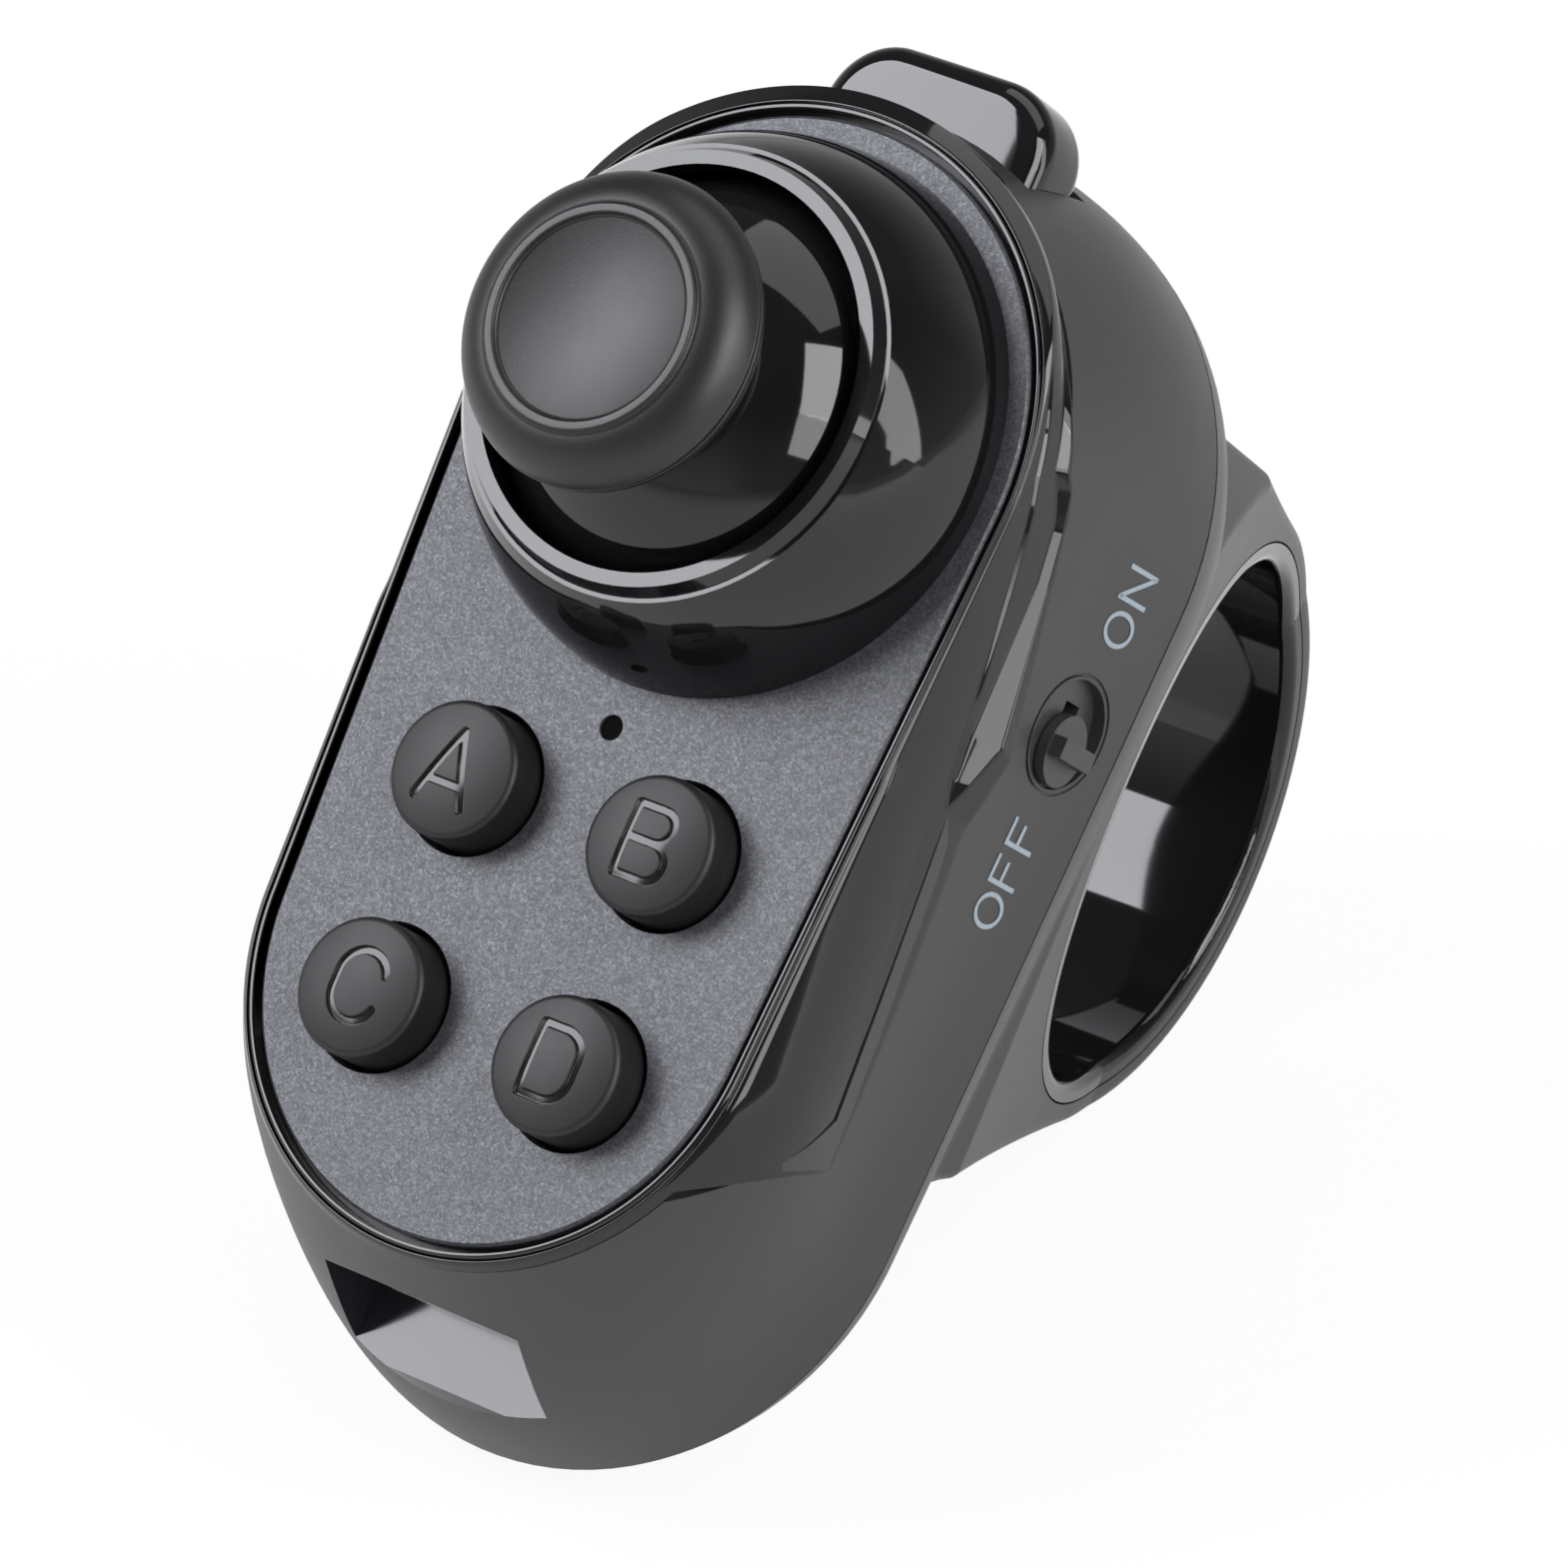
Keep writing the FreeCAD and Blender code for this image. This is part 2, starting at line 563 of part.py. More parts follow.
trim_opening = plate_prism("trim_opening", "plate_gap", "seam_depth", "seam_depth + wall")
trim_zone = cut("trim_zone", trim_wedge("trim_wedge", "0"), trim_opening)
trim_blank = shared("trim_blank", [upper_form, trim_zone])
trim_bezel = keep(rounded("trim_bezel", trim_blank, lambda e: all(
    abs(v.Z - size(TOP)) < 0.01 and abs(v.X) < size("plate_tail_radius + plate_gap + bead_width / 2")
    for v in e.Vertexes), "bead_round"))

# Face plate: moulded sheet with the stick's hole, four button holes and a pinhole

BUTTONS = [("button_" + letter, column + "button_x", "-button_y " + row + " button_rows / 2")
           for letter, column, row in (("a", "-", "+"), ("b", "", "+"), ("c", "-", "-"), ("d", "", "-"))]
TOWER_INSIDE = "sqrt((tower_radius - tower_wall) ^ 2 - (plate_thickness - pivot_depth) ^ 2)"
TOWER_FOOT = "%s + tower_foot" % TOWER_INSIDE

face_plate = keep(new_body("face_plate"), z="-plate_thickness")
plate_sketch = body_sketch(face_plate, "plate_outline", "XY_Plane")
draw_egg(plate_sketch, "plate_tail_radius", "plate_tail_radius",
         "plate_nose_radius", "plate_span + plate_nose_radius")
draw_circle(plate_sketch, "0", "stick_y", TOWER_FOOT + " + foot_play")
draw_circle(plate_sketch, "0", "led_y", "led_hole")
for name, x, y in BUTTONS:
    draw_circle(plate_sketch, x, y, "button_radius + button_play")
plate_pad = pad(face_plate, plate_sketch, "plate_thickness")
doc.recompute()
plate_bevel = face_plate.newObject("PartDesign::Chamfer", "plate_bevel")
plate_bevel.Base = (plate_pad, ["Edge%d" % i for i, e in enumerate(plate_pad.Shape.Edges, start=1)
                                if len(e.Vertexes) == 2
                                and all(v.Z > size("plate_thickness") / 2 for v in e.Vertexes)])
plate_bevel.setExpression("Size", bound("plate_bevel"))

# Front shell: deck under the plate, side walls, nose with its recess, posts for the screws

ledge = cut("ledge", trim_wedge("ledge_wedge", "trim_web"),
            plate_prism("ledge_opening", "plate_gap - trim_web", "seam_depth", "seam_depth + wall"))
front_hollow = cut("front_hollow", upper_hollow, ledge)
NOTCH_BACK = "-(%s)" % BEYOND
notch_block = block("notch_block", ("-notch_half - wall", "notch_half + wall"),
                    (NOTCH_BACK, "wall - notch_wall"), ("-notch_floor - wall", "-plate_thickness"))
TRIGGER_LOW = "-trigger_top - trigger_height"
POST = "screw_shank + post_wall"
TAIL_BOSS_TOP = TRIGGER_LOW + " - trigger_lip - trigger_play"
SCREWS = [("-nose_post_x", "-nose_post_y"), ("nose_post_x", "-nose_post_y"), ("0", "tail_post_y")]
posts = [rod("tail_post", "z", POST, "-seam_depth", TAIL_BOSS_TOP, SCREWS[2]),
         block("tail_web", ("-post_wall", "post_wall"), ("tail_post_y", BEYOND),
               ("-seam_depth", TAIL_BOSS_TOP))]
for side in ("-", ""):
    for name, x, y, low in (("nose_post", "nose_post_x", "-nose_post_y", "-seam_depth"),
                            ("board_post", "board_post_x", "-button_y", "-board_depth")):
        posts.append(rod(name, "z", POST, low, "-plate_thickness", (side + x, y)))
front_extra = shared("front_extra", [upper_form, join("front_fittings", [notch_block] + posts)])
front_solid = join("front_solid", [cut("front_wall", upper_form, front_hollow), front_extra])

WELL_BOTTOM = "slide_face - slide_disc_depth - slide_play"
LEVER_HALF = "(lever_side / 2 + slide_play)"
front_openings = [
    trim_zone,
    plate_prism("plate_seat", "plate_gap", "plate_thickness", "plate_thickness + wall"),
    rod("stick_opening", "z", TOWER_INSIDE, "-(%s) - wall" % DECK_UNDER, "wall", ("0", "stick_y")),
    rod("pinhole", "z", "led_hole", "-(%s) - wall" % DECK_UNDER, "wall", ("0", "led_y")),
    block("trigger_window", ("-trigger_half - trigger_play", "trigger_half + trigger_play"),
          ("trigger_shoulder - trigger_flange", BEYOND),
          (TRIGGER_LOW + " - trigger_play", "trigger_play - trigger_top")),
    block("notch", ("-notch_half", "notch_half"), (NOTCH_BACK, "-notch_wall"),
          ("-notch_floor", "wall")),
    block("port_window", ("-port_half - part_play", "port_half + part_play"),
          ("-notch_wall - wall", "2 * wall - notch_wall"),
          ("-board_depth - part_play", "port_height - board_depth + part_play")),
    block("lever_slot", (WELL_BOTTOM + " - 2 * wall", "slide_face"),
          ("slide_y - " + LEVER_HALF, "slide_y + slide_travel + " + LEVER_HALF),
          ("slide_z - " + LEVER_HALF, "slide_z + " + LEVER_HALF))]
front_openings += [rod(name + "_hole", "z", "button_radius + button_play",
                       "-(%s) - wall" % DECK_UNDER, "wall", (x, y)) for name, x, y in BUTTONS]


def oval(name, grow):
    """An upright oval prism in the switch side, the well's outline grown by some amount."""
    sketch = free_sketch(name + "_outline", SIDE_VIEW)
    half = "(well_half_height + %s)" % grow
    rest = "(well_half_length - well_half_height)"
    draw_outline(sketch, [
        ("well_y - " + rest, "well_z - " + half),
        ("well_y + " + rest, "well_z - " + half),
        ("well_y + %s + %s" % (rest, half), "well_z"),
        ("well_y + " + rest, "well_z + " + half),
        ("well_y - " + rest, "well_z + " + half),
        ("well_y - %s - %s" % (rest, half), "well_z")],
        {i: half for i in (1, 2, 4, 5)})
    made = prism(name, sketch, "2 * wall")
    made.Placement = Placement()
    made.setExpression("Placement.Base.x", bound(WELL_BOTTOM))
    return made


skin_levels = [level(part + "_skin", part + "_depth", part, "groove_depth")
               for part in ("brow", "cheek", "seam")]
skin_form = loft("skin_form", skin_levels)
front_openings.append(oval("well", "0"))
front_openings.append(cut("well_groove", cut(
    "groove_ring", oval("groove_outside", "well_margin + groove_width"),
    oval("groove_inside", "well_margin")), skin_form))
PILOT = "screw_shank + running_play"
for x, y in SCREWS:
    front_openings.append(rod("screw_pilot", "z", PILOT, "-seam_depth - wall",
                              "screw_bite - seam_depth + part_play", (x, y)))
for side in ("-", ""):
    front_openings.append(rod("board_pilot", "z", PILOT, "-board_depth - wall",
                              "board_screw_length - board_thickness - board_depth + part_play",
                              (side + "board_post_x", "-button_y")))
front_shell = keep(cut("front_shell", front_solid, join("front_openings", front_openings)))

# Rear shell: rounded belly with the finger ring grown out of it

belly = bowl("belly", "belly_drop", "belly_round", "0")
belly_hollow = bowl("belly_hollow", "cavity_drop", "cavity_round", "wall")

ring_side = free_sketch("ring_side", SIDE_VIEW)
RING_ROOT = "(ring_depth - ring_radius - ring_root)"
RING_TOP = "(ring_depth - ring_top_rise)"
FLANK_END = "(ring_depth + ring_flank_drop)"
TAIL_Y = "-ring_back + ring_radius * cos(ring_tail_lean)"
TAIL_Z = "-ring_depth - ring_radius * sin(ring_tail_lean)"
NOSE_Y = "-ring_back - ring_radius * cos(ring_nose_lean)"
NOSE_Z = "-ring_depth - ring_radius * sin(ring_nose_lean)"
draw_outline(ring_side, [
    ("%s + (-%s - (%s)) * tan(ring_tail_lean)" % (TAIL_Y, RING_ROOT, TAIL_Z), "-" + RING_ROOT),
    ("%s - (-%s - (%s)) * tan(ring_nose_lean)" % (NOSE_Y, RING_ROOT, NOSE_Z), "-" + RING_ROOT),
    (NOSE_Y, NOSE_Z),
    (TAIL_Y, TAIL_Z)], {2: "ring_radius"})
ring_front = free_sketch("ring_front", FRONT_VIEW)
FOOT = "-ring_depth - ring_radius - wall"
SLOPE = "(ring_top_half - ring_flank_half) / (ring_top_rise + ring_flank_drop)"
ROOT_HALF = "ring_top_half + (%s - %s) * %s" % (RING_TOP, RING_ROOT, SLOPE)
draw_outline(ring_front, [
    ("-(%s)" % ROOT_HALF, "-" + RING_ROOT),
    ("-ring_flank_half", "-" + FLANK_END),
    ("-ring_foot_half", FOOT),
    ("ring_foot_half", FOOT),
    ("ring_flank_half", "-" + FLANK_END),
    (ROOT_HALF, "-" + RING_ROOT)],
    {0: "-ring_flank_hollow", 4: "-ring_flank_hollow"})
ring_slab = prism("ring_slab", ring_side, "4 * ring_radius", symmetric=True)
ring_taper = prism("ring_taper", ring_front, "4 * ring_radius", symmetric=True)
ring_taper.setExpression("Placement.Base.y", bound("-ring_back"))
ring_limit = prism("ring_limit", level("ring_limit_outline", "2 * ring_depth", "seam", "ring_shoulder"),
                   "2 * ring_depth")
ring_blank = shared("ring_blank", [ring_slab, ring_taper, ring_limit])
ring_form = rounded("ring_form", ring_blank, lambda e: min(v.Z for v in e.Vertexes)
                    < size("-%s - wall" % RING_ROOT) and e.Length > size("2 * wall")
                    and abs(e.Vertexes[0].X - e.Vertexes[-1].X) < size("ring_radius")
                    and not along(e, "x"), "ring_edge_round")
belly_and_ring = join("belly_and_ring", [belly, ring_form])
doc.recompute()
SKINS = [Part.Shell(form.Shape.Faces) for form in (belly, ring_form)]
rear_form = rounded("rear_form", belly_and_ring, lambda e: all(
    skin.distToShape(Part.Vertex(e.valueAt((e.FirstParameter + e.LastParameter) / 2)))[0] < 0.01
    for skin in SKINS), "ring_blend")
SEAT = "-seam_depth - screw_grip"
HEAD_HOLE = "screw_head + part_play"
rear_posts = []
rear_openings = [rod("ring_hole", "x", "ring_bore + liner_wall + liner_gap", "-2 * ring_radius",
                     "2 * ring_radius", ("-ring_back", "-ring_depth"))]
for place in SCREWS:
    rear_posts.append(rod("rear_post", "z", HEAD_HOLE + " + post_wall",
                          "-seam_depth - belly_drop", "-seam_depth", place))
    rear_openings.append(rod("shank_hole", "z", "screw_shank + part_play",
                             SEAT + " - wall", "wall - seam_depth", place))
    rear_openings.append(rod("head_hole", "z", HEAD_HOLE,
                             "-seam_depth - belly_drop - wall", SEAT, place))
SEAM_LEVEL = "seam_depth + groove_width"
rear_openings.append(cut(
    "seam_groove",
    prism("seam_band", level("seam_band_outline", SEAM_LEVEL, "seam", "-wall"), "groove_width"),
    prism("seam_core", level("seam_core_outline", SEAM_LEVEL, "seam", "groove_depth"),
          "groove_width")))
CELL_TOP = "-board_depth - board_thickness - pad_thickness"
cell_ribs = [block("cell_rib", ("-cell_half", "cell_half"),
                   ("-cell_front - cell_length / 2 %s rib_spacing / 2 - rib_thickness / 2" % sign,
                    "-cell_front - cell_length / 2 %s rib_spacing / 2 + rib_thickness / 2" % sign),
                   ("-seam_depth - belly_drop + wall", CELL_TOP + " - cell_thickness - 2 * part_play"))
             for sign in ("-", "+")]
rear_extra = shared("rear_extra", [belly, join("rear_fittings", rear_posts)])
rear_solid = join("rear_solid", [cut("rear_wall", rear_form, belly_hollow), rear_extra] + cell_ribs)
rear_shell = keep(cut("rear_shell", rear_solid, join("rear_openings", rear_openings)))

# Ring liner: glossy tube in the finger ring, its mouths rounded over

liner_tube = cut("liner_tube",
                 rod("liner_outside", "x", "ring_bore + liner_wall", "-2 * ring_radius",
                     "2 * ring_radius", ("-ring_back", "-ring_depth")),
                 rod("liner_inside", "x", "ring_bore", "-3 * ring_radius", "3 * ring_radius",
                     ("-ring_back", "-ring_depth")))
liner_blank = shared("liner_blank", [liner_tube, ring_taper])
ring_liner = keep(rounded("ring_liner", liner_blank, lambda e: abs(
    math.hypot(e.Vertexes[0].Y + size("ring_back"), e.Vertexes[0].Z + size("ring_depth"))
    - size("ring_bore")) < 0.01 and not along(e, "x"), "liner_round"))

# Stick tower: glossy domed collar round the thumb stick, seated in the plate's hole

OUTER = "sqrt(tower_radius ^ 2 - (%s + pivot_depth) ^ 2)"
LIP_FOOT = "tower_height - lip_drop"
stick_tower = keep(turned("stick_tower", [
    (TOWER_FOOT, "-plate_thickness"),
    (TOWER_FOOT, "0"),
    (OUTER % "0", "0"),
    (OUTER % ("(" + LIP_FOOT + ")"), LIP_FOOT),
    (OUTER % ("(" + LIP_FOOT + ")") + " - lip_step", LIP_FOOT),
    ("tower_mouth + lip_width", "tower_height"),
    ("tower_mouth", "tower_height"),
    ("tower_mouth", "sqrt((tower_radius - tower_wall) ^ 2 - tower_mouth ^ 2) - pivot_depth"),
    (TOWER_INSIDE, "-plate_thickness")],
    {2: "tower_radius", 7: "tower_wall - tower_radius"}), y="stick_y")

# Thumb stick: shaft with its dome and cap, all measured from the stick's pivot

DOME_OUT = "tower_radius - tower_wall - dome_play"
DOME_IN = "(%s - dome_wall)" % DOME_OUT
DOME_OUT = "(%s)" % DOME_OUT
CAP_TOP = "cap_top + pivot_depth"
CAP_UNDER = "cap_top + pivot_depth - cap_depth"
SLEEVE = "shaft_radius + running_play"


def at_pivot(piece):
    return keep(piece, y="stick_y", z="-pivot_depth")


stick_dome = at_pivot(turned("stick_dome", [
    (DOME_OUT + " * sin(dome_skirt)", DOME_OUT + " * cos(dome_skirt)"),
    ("stick_neck", "sqrt(%s ^ 2 - stick_neck ^ 2)" % DOME_OUT),
    ("stick_neck", CAP_UNDER),
    (SLEEVE, CAP_UNDER),
    (SLEEVE, "sqrt(%s ^ 2 - (%s) ^ 2)" % (DOME_IN, SLEEVE)),
    (DOME_IN + " * sin(dome_skirt)", DOME_IN + " * cos(dome_skirt)")],
    {0: DOME_OUT, 4: "-" + DOME_IN}))

SHAFT_BLIND = "shaft_top + pivot_depth + running_play"
SHOULDER = CAP_TOP + " - cap_ring_height"
GIRTH = CAP_UNDER + " + cap_girth"
stick_cap = at_pivot(turned("stick_cap", [
    (SLEEVE, CAP_UNDER),
    ("cap_waist", CAP_UNDER),
    ("cap_radius", GIRTH),
    ("cap_ring", SHOULDER),
    ("cap_ring", CAP_TOP),
    ("cap_ring - cap_ring_width", CAP_TOP),
    ("cap_ring - cap_ring_width", SHOULDER),
    ("0", SHOULDER + " - cap_dish"),
    ("0", SHAFT_BLIND),
    (SLEEVE, SHAFT_BLIND)],
    {1: "cap_girth", 2: "cap_shoulder"}))

shaft = turned("shaft_blank", [
    ("0", "-shaft_tail"),
    ("shaft_foot", "-shaft_tail"),
    ("shaft_foot", "foot_height - shaft_tail"),
    ("shaft_radius", "foot_height - shaft_tail"),
    ("shaft_radius", "shaft_top + pivot_depth"),
    ("0", "shaft_top + pivot_depth")])
stick_shaft = at_pivot(cut("stick_shaft", shaft, rod("pin_hole", "y", "pin_radius + running_play",
                                                     "-2 * shaft_foot", "2 * shaft_foot")))

# Gimbal of the stick: the lower bow turns about X and carries the stick's cross pin, the
# upper bow is an arch that turns about Y and guides the stick in its slot

BOW_END = "ear_reach - bow_play"
AXLE_END = "ear_reach + ear_thickness + sensor_thickness"
GUIDE = "shaft_radius + slot_play"
lower_solid = join("lower_solid", [
    block("bow_bar", ("-(%s)" % BOW_END, BOW_END), ("-bow_half", "bow_half"),
          ("-bow_rise", "bow_rise")),
    rod("bow_axle", "x", "axle_radius", "-(%s)" % AXLE_END, "ear_reach + ear_thickness")])
lower_bow = at_pivot(cut("lower_bow", lower_solid, join("lower_openings", [
    block("bow_slot", ("-bow_window", "bow_window"), ("-(%s)" % GUIDE, GUIDE),
          ("-2 * bow_rise", "2 * bow_rise")),
    rod("bow_pin_hole", "y", "pin_radius + running_play / 2", "-2 * bow_half", "2 * bow_half")])))
stick_pin = at_pivot(group("stick_pin", [rod("pin", "y", "pin_radius", "-bow_half", "bow_half")]))

arch_side = free_sketch("arch_side", SIDE_VIEW)
ARCH_OUT = "arch_inner + arch_thickness"
draw_outline(arch_side, [
    (ARCH_OUT, "0"),
    ("0", ARCH_OUT),
    ("-(%s)" % ARCH_OUT, "0"),
    ("-arch_inner", "0"),
    ("0", "arch_inner"),
    ("arch_inner", "0")],
    {0: ARCH_OUT, 1: ARCH_OUT, 3: "-arch_inner", 4: "-arch_inner"})
arch = prism("arch", arch_side, "2 * arch_half", symmetric=True)
hubs = [rod("arch_hub", "y", "arch_half", low, high)
        for low, high in (("arch_inner", BOW_END), ("-(%s)" % BOW_END, "-arch_inner"))]
arch_axles = [rod("arch_axle", "y", "axle_radius", low, high)
              for low, high in ((BOW_END, "ear_reach + ear_thickness"),
                                ("-(%s)" % AXLE_END, "-(%s)" % BOW_END))]
upper_bow = at_pivot(cut("upper_bow", join("upper_solid", [arch] + hubs + arch_axles), block(
    "arch_slot", ("-(%s)" % GUIDE, GUIDE), ("-arch_slot", "arch_slot"), ("0", "2 * arch_inner"))))

# Module frame on the board: floor and four ears in which the bows turn

EAR_OUT = "ear_reach + ear_thickness"
FLOOR_LOW = "pivot_depth - board_depth"
ears = []
for side in ("-", ""):
    near, far = sorted((side + "ear_reach", side + "(%s)" % EAR_OUT), key=size)
    ears.append(block("x_ear", (near, far), ("-ear_half", "ear_half"), (FLOOR_LOW, "ear_half")))
    ears.append(block("y_ear", ("-ear_half", "ear_half"), (near, far), (FLOOR_LOW, "ear_half")))
frame_floor = block("frame_floor", ("-(%s)" % EAR_OUT, EAR_OUT), ("-(%s)" % EAR_OUT, EAR_OUT),
                    (FLOOR_LOW, FLOOR_LOW + " + module_floor"))
BEARING = "axle_radius + running_play"
stick_frame = at_pivot(cut("stick_frame", join("frame_solid", [frame_floor] + ears), join(
    "frame_bearings", [rod("bearing_" + axis, axis, BEARING, "-2 * ear_reach", "2 * ear_reach")
                       for axis in "xy"])))


def sensor(name, axis):
    """A position sensor on the outer face of one ear, its rotor on the bow's axle."""
    across = ("-sensor_half", "sensor_half")
    deep = ("-(%s)" % AXLE_END, "-(%s)" % EAR_OUT)
    high = (FLOOR_LOW, "sensor_rise")
    body = block(name + "_case", *((deep, across, high) if axis == "x" else (across, deep, high)))
    soft = rounded(name + "_round", body, lambda e: along(e, axis)
                   and e.Vertexes[0].Z > 0, "sensor_round")
    return at_pivot(cut(name, soft, rod(name + "_bore", axis, BEARING, "-2 * ear_reach", "0")))


sensor_x = sensor("tilt_sensor_x", "x")
sensor_y = sensor("tilt_sensor_y", "y")

# Centring disc and spring under the stick's foot

DISC_TOP = "-shaft_tail - disc_gap"
centering_disc = at_pivot(group("centering_disc", [
    rod("disc", "z", "disc_radius", DISC_TOP + " - disc_thickness", DISC_TOP)]))
SPRING_LOW = size(FLOOR_LOW + " + module_floor + spring_wire / 2")
SPRING_HIGH = size(DISC_TOP + " - disc_thickness - spring_wire / 2")
QUARTER_TURNS = round(4 * size("spring_turns"))


def on_coil(quarters):
    """The coil's centre line, at a number of quarter turns from its foot."""
    angle = math.radians(90 * quarters)
    radius = size("spring_radius")
    rise = (SPRING_HIGH - SPRING_LOW) * quarters / QUARTER_TURNS
    return Vector(radius * math.cos(angle), radius * math.sin(angle), rise)


coil = [Part.Arc(on_coil(quarter), on_coil(quarter + 0.5), on_coil(quarter + 1)).toShape()
        for quarter in range(QUARTER_TURNS)]
wire_section = Part.Wire(Part.makeCircle(size("spring_wire / 2"), on_coil(0),
                                         coil[0].tangentAt(coil[0].FirstParameter)))
centering_spring = doc.addObject("Part::Feature", "centering_spring")
centering_spring.Shape = Part.Wire(coil).makePipeShell([wire_section], True, False)
keep(centering_spring, y="stick_y", z="%f - pivot_depth" % SPRING_LOW)

# Face buttons: domed caps with a flange under the deck and a stem down to their switch

FLANGE_TOP = "-(%s) - flange_play" % DECK_UNDER
SWITCH_TOP = "switch_height - board_depth"
STEM_END = "%s + button_travel + press_margin" % SWITCH_TOP
CROWN_EDGE = "button_height - button_crown + sqrt(button_crown ^ 2 - (button_radius - button_round) ^ 2)"


def button(name, x, y):
    cap = turned(name, [
        ("0", STEM_END),
        ("button_stem", STEM_END),
        ("button_stem", FLANGE_TOP + " - flange_thickness"),
        ("button_radius + button_flange", FLANGE_TOP + " - flange_thickness"),
        ("button_radius + button_flange", FLANGE_TOP),
        ("button_radius", FLANGE_TOP),
        ("button_radius", CROWN_EDGE + " - button_round"),
        ("button_radius - button_round", CROWN_EDGE),
        ("0", "button_height")],
        {6: "button_round", 7: "button_crown"})
    return keep(cap, x, y)


def push_switch(label, x, y):
    """Square switch body with a well for its plunger, open at the top."""
    case = block(label + "_case", (x + " - switch_side / 2", x + " + switch_side / 2"),
                 (y + " - switch_side / 2", y + " + switch_side / 2"),
                 ("-board_depth", SWITCH_TOP))
    return cut(label, case, rod(label + "_well", "z", "plunger_radius + running_play",
                                "switch_floor - board_depth", "wall", (x, y)))


PLUNGER_LOW = "switch_floor - board_depth + button_travel + press_margin / 2"
switches = []
for name, x, y in BUTTONS:
    button(name, x, y)
    keep(group(name.replace("button", "plunger"), [
        rod("plunger_pin", "z", "plunger_radius", PLUNGER_LOW, STEM_END, (x, y))]))
    switches.append(push_switch("switch_" + name[-1], x, y))
keep(group("push_switches", switches))

# Light pipe in the plate's pinhole, over the indicator light

pipe = turned("light_pipe", [
    ("0", "led_height - board_depth + press_margin"),
    ("led_hole - running_play", "led_height - board_depth + press_margin"),
    ("led_hole - running_play", "-(%s) - pipe_collar_height" % DECK_UNDER),
    ("pipe_collar", "-(%s) - pipe_collar_height" % DECK_UNDER),
    ("pipe_collar", "-(%s)" % DECK_UNDER),
    ("led_hole - running_play", "-(%s)" % DECK_UNDER),
    ("led_hole - running_play", "-pipe_sink"),
    ("0", "-pipe_sink")])
keep(pipe, y="led_y")
keep(group("power_led", [block("led_chip", ("-led_length / 2", "led_length / 2"),
                               ("led_y - led_length / 4", "led_y + led_length / 4"),
                               ("-board_depth", "led_height - board_depth"))]))

# Circuit board, notched where the posts pass, and the chips on it

main_board = keep(new_body("main_board"), z="-board_depth - board_thickness")
board_sketch = body_sketch(main_board, "board_outline", "XY_Plane")
draw_egg(board_sketch, "board_tail_radius", "board_tail_end", "board_nose_radius", "board_nose_end")
pad(main_board, board_sketch, "board_thickness")
board_holes = body_sketch(main_board, "board_holes", "XY_Plane")
for side in ("-", ""):
    draw_circle(board_holes, side + "nose_post_x", "-nose_post_y", "screw_shank + post_wall + post_play")
    draw_circle(board_holes, side + "board_post_x", "-button_y", "screw_shank + part_play")
hole_pocket = main_board.newObject("PartDesign::Pocket", "hole_pocket")
hole_pocket.Profile = board_holes
hole_pocket.Type = "ThroughAll"
hole_pocket.Reversed = True

BOARD_TOP = "-board_depth"


def chip(name, half_x, half_y, y, height):
    return keep(group(name, [block("chip", ("-(%s)" % half_x, half_x),
                                   (y + " - " + half_y, y + " + " + half_y),
                                   (BOARD_TOP, BOARD_TOP + " + " + height))]))


CHIP_ROW = "-button_y + %s * chip_spacing"
chip("radio_chip", "radio_side / 2", "radio_side / 2", CHIP_ROW % "1", "chip_height")
chip("crystal_can", "crystal_length / 2", "crystal_width / 2", CHIP_ROW % "0", "chip_height")
chip("charging_chip", "charger_side / 2", "charger_side / 2", CHIP_ROW % "-1", "chip_height")

# Charging port: rounded metal shell with a contact tongue, open at the recess in the nose

PORT_FRONT = "part_play - notch_wall"
PORT_TOP = BOARD_TOP + " + port_height"
port_shell = rounded("port_shell", block(
    "port_block", ("-port_half", "port_half"), (PORT_FRONT, PORT_FRONT + " + port_length"),
    (BOARD_TOP, PORT_TOP)), lambda e: along(e, "y"), "port_round")
port_mouth = rounded("port_mouth", block(
    "port_hollow", ("port_skin - port_half", "port_half - port_skin"),
    (PORT_FRONT + " - wall", PORT_FRONT + " + port_length - 2 * port_skin"),
    (BOARD_TOP + " + port_skin", PORT_TOP + " - port_skin")),
    lambda e: along(e, "y"), "port_round - port_skin")
port_tongue = block("port_tongue", ("-port_half / 2", "port_half / 2"),
                    (PORT_FRONT + " + port_skin", PORT_FRONT + " + port_length - port_skin"),
                    (BOARD_TOP + " + port_height / 2 - port_skin",
                     BOARD_TOP + " + port_height / 2 + port_skin"))
keep(join("charging_port", [cut("port_case", port_shell, port_mouth), port_tongue]))

# Battery cell hung under the board on foam tape, with its two leads

